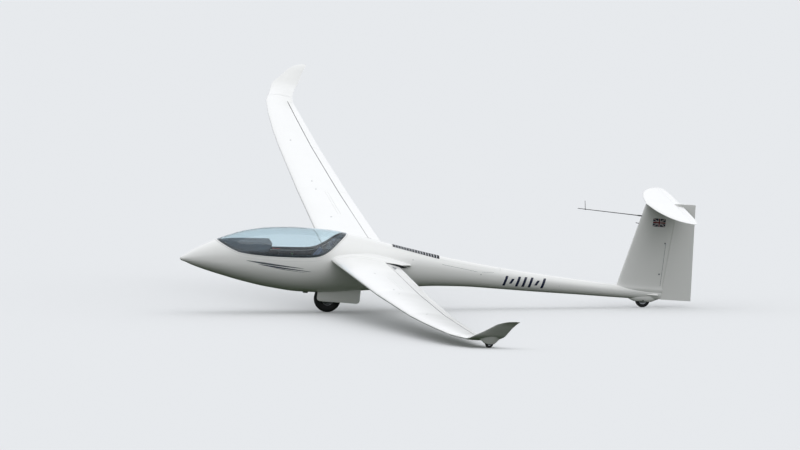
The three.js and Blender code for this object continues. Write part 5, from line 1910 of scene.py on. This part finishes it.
def makeSideMarks():
    for number, (start, end, first, last, deep, colour) in enumerate(sideStripes):
        def spread(x):
            t = max(0, min(1, (x - start) / (end - start)))
            middle = first + (last - first) * t**0.8
            half = max(0.0004, deep * min(1, t * 3.2) ** 0.8 * (1 - t) ** 0.6)
            return angleAt(x, middle - half, 1), angleAt(x, middle + half, 1)

        stripe = hullPatch(f"side_stripe_{number}", steps(start, end, 48), spread)
        bothSides(stripe, vinyl[colour])
    bars = []
    mark = boomBars
    middle = (mark["low"] + mark["high"]) / 2
    for k in range(mark["count"]):
        start = mark["from"] + mark["pitch"] * k
        half = (mark["high"] - middle) * (0.5 if k in mark["short"] else 1)

        def slanted(x, z, out):
            x += mark["slant"] * (z - middle + half) / (2 * half)
            return hullPoint(x, angleAt(x, z, 1), out)

        bars.append(skinPatch(
            "bar", slanted, steps(start, start + mark["wide"], 4),
            lambda x: (middle - half, middle + half), 0.0005, 0.001, 10,
        ))
    bothSides(joined("boom_bars", bars), vinyl["navy"])

    def underEdge(x):
        z = edgeAt(x) - 0.045
        return angleAt(x, z, 1), angleAt(x, z - 0.0035, 1)

    line = hullPatch("canopy_tape", steps(0.62, 1.84, 50), underEdge, 0.0004, 0.001, 2)
    bothSides(line, paleTape)
    seams = []
    for x0, x1, z0, z1, half in hullSeams:
        def seam(x):
            z = z0 + (z1 - z0) * (x - x0) / (x1 - x0)
            return angleAt(x, z - half, 1), angleAt(x, z + half, 1)

        seams.append(hullPatch("seam", steps(x0, x1, 30), seam, 0.0004, 0.001, 1))
    for x, z in hullPorts:
        spot = hullPoint(x, angleAt(x, z, 1))
        seams.append(addTube("port", *barEnds(spot, -0.003, 0.0006), 0.006, sides=18))
    bothSides(joined("hull_seams", seams), vinyl["grey"])


solar = {
    "from": 2.812, "to": 3.452, "inner": 0.007, "outer": 0.068, "cells": 17, "line": 0.01,
    "buses": (0.33, 0.67),
}


def makeSolar():
    cells = solar
    stations = steps(cells["from"], cells["to"], 34)

    def spread(x):
        return asin(cells["inner"] / halfAt(x)), asin(cells["outer"] / halfAt(x))

    sheet = hullPatch("solar_sheet", stations, spread, 0.0022, -0.0004, 4)
    bothSides(sheet, solarCell, "solar_strip_SIDE", body="engine_door_SIDE")
    lines = []
    for x in steps(cells["from"], cells["to"], cells["cells"])[1:-1]:
        ends = x - cells["line"] / 2, x + cells["line"] / 2
        lines.append(hullPatch("line", ends, spread, 0.0026, -0.0018, 4))
    for share in cells["buses"]:
        def strip(x):
            low, high = spread(x)
            middle = low + (high - low) * share
            return middle - 0.0035, middle + 0.0035

        lines.append(hullPatch("bus", stations, strip, 0.00245, -0.0018, 1))
    bothSides(joined("solar_contacts", lines), solarContact, body="engine_door_SIDE")


# The fairing inboard of the flap, which runs on behind it: stations, top, bottom, width.
flapFairing = {
    "outer": 0.478, "seal_shade": 0.006,
    "table": [
        (2.67, 0.2425, 0.228, 0.09), (2.75, 0.2385, 0.2, 0.1), (2.8, 0.235, 0.19, 0.095),
        (2.84, 0.23, 0.187, 0.08), (2.88, 0.2225, 0.188, 0.058), (2.92, 0.2125, 0.1905, 0.036),
        (2.95, 0.2035, 0.1935, 0.018), (2.965, 0.1985, 0.197, 0.006),
    ],
}


def makeRootFairing():
    fairing = flapFairing
    top, bottom, wide = (column(fairing["table"], key) for key in (1, 2, 3))
    rings, sealAndShadeRings = [], []
    for x in steps(2.67, 2.965, 40):
        low, tall = bottom(x), top(x) - bottom(x)
        inner = fairing["outer"] - wide(x)
        hump = [
            (inner + wide(x) * t, low + tall * sin(pi / 2 * t) ** 0.8)
            for t in steps(0, 1, 12)
        ]
        rings.append([(x, y, z) for y, z in [*hump, (fairing["outer"], low)]])
        # The dark rubber strip on the fairing's outer side is a seal and also painted shade: its dark
        # face stands in for the shaded side of the fairing above the flap.
        near, far = fairing["outer"] - 0.001, fairing["outer"] + fairing["seal_shade"]
        bed, crest = low - 0.001, top(x) - 0.0012
        sealAndShadeRings.append([(x, near, bed), (x, far, bed), (x, far, crest), (x, near, crest)])
    bothSides(loft("flap_root_fairing", rings), gelcoat)
    bothSides(loft("flap_root_seal", sealAndShadeRings), rubber)


wingDetails = {
    "caps": [(3.84, 0.34), (5.96, 0.32), (1.92, 0.34), (3.42, 0.34)],  # span station, chord share
    "capRadius": 0.011,
    "joints": [(0.348, 0.372), (8.272, 8.296)],
    "hoods": [1.2, 2.75, 4.55, 6.9],
    "hoodTable": [  # share of the way aft, share of the full section
        (0, 0.05), (0.06, 0.45), (0.15, 0.7), (0.3, 0.95), (0.42, 1), (0.425, 0.97),
    ],
}


def makeWingDetails():
    details = wingDetails
    caps = []
    for y, share in details["caps"]:
        spot = wingPoint(y, share, 1)
        along = wingPoint(y + 0.02, share, 1) - wingPoint(y - 0.02, share, 1)
        back = wingPoint(y, share + 0.02, 1) - wingPoint(y, share - 0.02, 1)
        normal = back.cross(along).normalized()
        ends = spot - normal * 0.003, spot + normal * 0.0012
        caps.append(addTube("cap", *ends, details["capRadius"], sides=24, edge=0.0005))
    bothSides(joined("wing_caps", caps), vinyl["grey"])
    tapes = [
        wingPatch("tape", ends, lambda y: (0.003, 0.99), side, 0.00035, count=40)
        for ends in details["joints"] for side in (1, -1)
    ]
    bothSides(joined("wing_joint_tape", tapes), paleTape)

    # The dark rubber strips along the hinge lines are painted shadow. They stand in for the shadow
    # that each gap's seal casts, and widen from 4 mm to 9 mm between 2.2 m and 3 m span.
    def shadeStripShares(y):
        chord = trailAt(y) - leadAt(y)
        wide = 0.004 + 0.005 * max(0, min(1, (y - 2.2) / 0.8))
        return wing["hinge"] - (0.002 + wide) / chord, wing["hinge"] - 0.002 / chord

    shadeStrips = [
        wingPatch("seal_shade", steps(start + 0.004, end - 0.004, 24), shadeStripShares, count=2)
        for start, end in wing["surfaces"].values()
    ]
    bothSides(joined("hinge_gap_shade_strips", shadeStrips), rubber)
    # A grey triangle on the flap's upper side near its root, in the grey film's colour.
    patch = wingPatch(
        "flap_root_patch", steps(0.72, 1.1, 8), lambda y: (0.827, 0.92 - 0.091 * (y - 0.72) / 0.38),
    )
    bothSides(patch, vinyl["grey"], body="flap_SIDE")
    makeRootFairing()

    def section(a, size):
        deep = 0.004 if cos(a) > 0 else 0.017
        return Vector((0, 0.011 * sin(a), deep * cos(a))) * size

    hoods = []
    for y in details["hoods"]:
        front, back = wingPoint(y, 0.7, -1), wingPoint(y, 0.88, -1)
        hoods.append(loft("hood", [
            [front.lerp(back, t) + section(a, size) for a in circle(20)]
            for t, size in details["hoodTable"]
        ]))
    bothSides(joined("flap_drive_hoods", hoods), gelcoat)


# A place on the fin's side.
def finPoint(x, z, side, lift=0):
    lead, trail = tailLead(z), tailTrail(z)
    share = (x - lead) / (trail - lead)
    foot = Vector((lead, 0, z))
    return foilPoint(foot, trail - lead, tailThick(z), 0, starboard, share, side, lift)


def finPatch(name, heights, spread, side, lift, count=8):
    def point(z, x, out):
        return finPoint(x, z, side, out)

    return skinPatch(name, point, heights, spread, lift, 0.001, count)


flag = {"x": 6.28, "z": 0.927, "wide": 0.17, "tall": 0.11}


# A small national flag, a traditional pattern, on each side of the fin.
def makeFlag():
    x0, z0, wide, tall = flag["x"], flag["z"], flag["wide"], flag["tall"]
    x1, z1 = x0 + wide, z0 + tall
    middle, level = x0 + wide / 2, z0 + tall / 2
    heights = steps(z0, z1, 22)
    layers = {"navy": [], "white": [], "red": []}
    for side in (1, -1):
        def patch(colour, stations, span, lift, count=8):
            layers[colour].append(finPatch("patch", stations, span, side, lift, count))

        patch("navy", heights, lambda z: (x0, x1), 0.0004)
        for colour, half, lift in (("white", 0.013, 0.0007), ("red", 0.005, 0.0009)):
            for way in (1, -1):
                def span(z):
                    x = middle + way * wide * ((z - z0) / tall - 0.5)
                    low, high = min(x1 - 0.001, x - half), max(x0 + 0.001, x + half)
                    return max(x0, low), min(x1, high)

                patch(colour, heights, span, lift)
        for colour, half, lift in (("white", 0.0145, 0.0011), ("red", 0.0095, 0.0013)):
            patch(colour, heights, lambda z: (middle - half, middle + half), lift)
            band = (level - half, level, level + half)
            patch(colour, band, lambda z: (x0, x1), lift + 0.0001, 16)
    for colour, patches in layers.items():
        dress(joined(f"fin_flag_{colour}", patches), vinyl[colour])


probe = {
    "root": Vector((6.125, 0, 1.0517)), "tip": Vector((5.247, 0, 1.086)), "radius": 0.0058,
    "sides": 18, "postFoot": Vector((5.351, 0, 1.08)), "postTop": Vector((5.335, 0, 1.1975)),
    "collar": ((5.343, 0, 1.0822), (5.36, 0, 1.0816)),
    "pitot": ((6.052, 0, 0.953), (6.115, 0, 0.9457)),
    "pitotBore": ((6.045, 0, 0.9538), (6.075, 0, 0.9503)),
}
finPlugs = [(6.4751, 0.708), (6.4409, 0.2854)]  # screwed plugs over the rudder hinges
driveFairing = [  # station, size of the rudder drive's fairing there
    (6.29, 0.1), (6.305, 0.3), (6.34, 0.6), (6.38, 0.85), (6.42, 1), (6.444, 0.98), (6.452, 0.8),
]


def coverEdge(z):
    x = 6.4692 + (z - 0.0761) * 0.023
    return x, x + 0.0035


def makeTailFittings():
    root, tip = probe["root"], probe["tip"]

    def tubeRadius(t):
        sleeve = 0.0032 * max(0, min(1, (0.075 - t) / 0.02))
        return probe["radius"] * (1 - 0.3 * t) * min(1, ((1 - t) / 0.006 + 0.02) ** 0.5) + sleeve

    stations = [
        0, 0.02, 0.04, 0.052, 0.06, 0.068, 0.076, *steps(0.1, 0.96, 12), 0.985, 0.993, 0.997,
        0.999, 1,
    ]
    sides = probe["sides"]
    tube = addPipe("tube", [root.lerp(tip, t) for t in stations], lambda t: 1, sides)
    for k, t in enumerate(stations):
        middle = root.lerp(tip, t)
        for vert in tube.data.vertices[k * sides:(k + 1) * sides]:
            vert.co = middle + (vert.co - middle) * tubeRadius(t)
    foot, top = probe["postFoot"], probe["postTop"]
    line = smoothLine([foot, foot.lerp(top, 0.5) + Vector((0.001, 0, 0)), top], 16)
    post = addPipe("post", line, lambda t: 0.0036 - 0.0008 * t, 14)
    collar = addTube("collar", *probe["collar"], 0.0075, sides=20, edge=0.001)
    slots = addTube("slots", top - upward * 0.014, top - upward * 0.011, 0.0034)
    dress(joined("tail_probe_tube", [tube, post, collar, slots]), carbonTube, "tail_probe")
    pitot = addTube("fin_pitot_tube", *probe["pitot"], 0.0042, 0.0052, 20)
    carve(pitot, addTube("bore", *probe["pitotBore"], 0.0028, sides=16))
    dress(pitot, carbonTube, "fin_pitot")
    fairing = loft("rudder_drive_fairing", [
        [(x, halfAt(x) - 0.004 + 0.024 * s * cos(a), 0.001 + 0.019 * s * max(-0.22, sin(a)))
         for a in circle(24)]
        for x, s in driveFairing
    ])
    bothSides(fairing, gelcoat)
    covers = []
    for side in (1, -1):
        covers.append(finPatch("edge", steps(0.076, 0.705, 12), coverEdge, side, 0.0006, 1))
        for x, z in finPlugs:
            ends = barEnds(finPoint(x, z, side), -0.003 * side, 0.0012 * side)
            covers.append(addTube("plug", *ends, 0.0105, sides=18))
    dress(joined("fin_cover_edges", covers), vinyl["grey"])
    ports = []
    for x in (2.62, 5.1):
        spot = hullPoint(x, pi / 2)
        ports.append(addTube("port", *barEnds(spot, -0.002, 0.0004), 0.004, sides=16))
    bothSides(joined("static_ports", ports), steel)
    ring = addTube("nose_vent_ring", (-0.0008, 0, 0), (0.004, 0, 0), 0.0068, sides=28, edge=0.0008)
    carve(ring, addTube("eye", (-0.01, 0, 0), (0.0032, 0, 0), 0.0048, sides=20))
    dress(ring, vinyl["grey"])


# The folded engine in its bay: mast, belt, two cylinders and the two-blade propeller laid flat.
engine = {
    "z": 0.005, "mast": (3.06, 4.07), "belt": (3.08, 4.05), "cylinders": (3.13, 3.22),
    "barrel": 0.03, "finHalf": 0.042, "top": 0.06, "propeller": Vector((3.83, 0, 0.058)),
    "blade": 0.27,
}


def makeEngine():
    z = engine["z"]

    def link(name, radii, low, high):
        start, end = engine[name]
        return sidePlate(linkOutline((start, z), (end, z), *radii), low, high)

    mast = link("mast", (0.024, 0.02), -0.014, 0.014)
    for x in steps(3.3, 3.95, 6):
        carve(mast, addTube("hole", (x, -0.05, z), (x, 0.05, z), 0.011))
    softenEdges(mast, 0.0015)
    dress(mast, castAlloy, "engine_block")
    belt = link("belt", (0.031, 0.02), 0.018, 0.03)
    carve(belt, link("belt", (0.0285, 0.0175), 0.01, 0.04))
    dress(belt, rubber)
    metal = []
    half, top = engine["finHalf"], engine["top"]
    for x in engine["cylinders"]:
        metal.append(addTube("core", (x, 0, -0.03), (x, 0, top), engine["barrel"], sides=40))
        for low in steps(-0.018, top - 0.008, 9):
            outline = roundedOutline((x - 0.04, low), (x + 0.04, low + 0.0022), 0.0008, 2)
            metal.append(sidePlate(outline, -half, half))
        metal.append(addTube("plug", (x, 0, top), (x, 0, top + 0.022), 0.007, 0.005, 16, 0.001))
    case = boxTool((3.02, -0.038, -0.038), (3.27, 0.038, -0.02))
    metal.append(softenEdges(case, 0.006, 3))
    front, rear = (Vector((x, 0, z)) for x in engine["belt"])
    metal += [
        addTube("pulley", *barEnds(front, 0.015, 0.033), 0.027, sides=48, edge=0.001),
        addTube("pulley", *barEnds(rear, 0.015, 0.033), 0.016, sides=40, edge=0.001),
        addTube("hub", rear - upward * 0.01, rear + upward * 0.047, 0.022, 0.019, 32, 0.0015),
    ]
    dress(joined("engine_metal", metal), castAlloy)
    rings = []
    for t in steps(-1, 1, 40):
        reach = abs(t)
        chord = 0.026 + 0.034 * sin(pi * min(1, reach * 0.85 + 0.1))
        chord -= 0.03 * max(0, reach - 0.85) / 0.15
        twist = radians(28 - 22 * reach) * (1 if t > 0 else -1)
        back = starboard * cos(twist) + upward * sin(twist)
        face = upward * cos(twist) - starboard * sin(twist)
        shares = [(1 - cos(pi * i / 10)) / 2 for i in range(11)]
        section = [(share, chord * foilHalf(share, 0.16) + 0.0004) for share in shares]
        section += [(share, -height) for share, height in section[:0:-1]]
        middle = engine["propeller"] + Vector((engine["blade"] * t, 0, 0))
        rings.append([
            middle + back * (share - 0.5) * chord + face * height for share, height in section
        ])
    dress(loft("folded_propeller", rings), carbonTube, slot="dark_trim")


stages = {
    "airframe": [makeFuselage, makeWing, makeWinglets, makeFin, makeTailplane],
    "doors and canopy": [makeEngineDoors, makeCanopy],
    "gear": [makeWheels, makeGearLeg, makeGearDoors, makeTowRelease, makeTailFairing],
    "panel": [makeLining, makeCowl, makePanel],
    "seat": [makeSeatPan, makePads, makeShelf, makeHarness],
    "cockpit": [makeStick, makePedals, makeConsoles, makeCanopyArms],
    "markings": [makeSideMarks, makeSolar, makeWingDetails, makeFlag],
    "fittings": [makeTailFittings, makeEngine],
}
for stage, makers in stages.items():
    for make in makers:
        make()
    print(stage, "done")
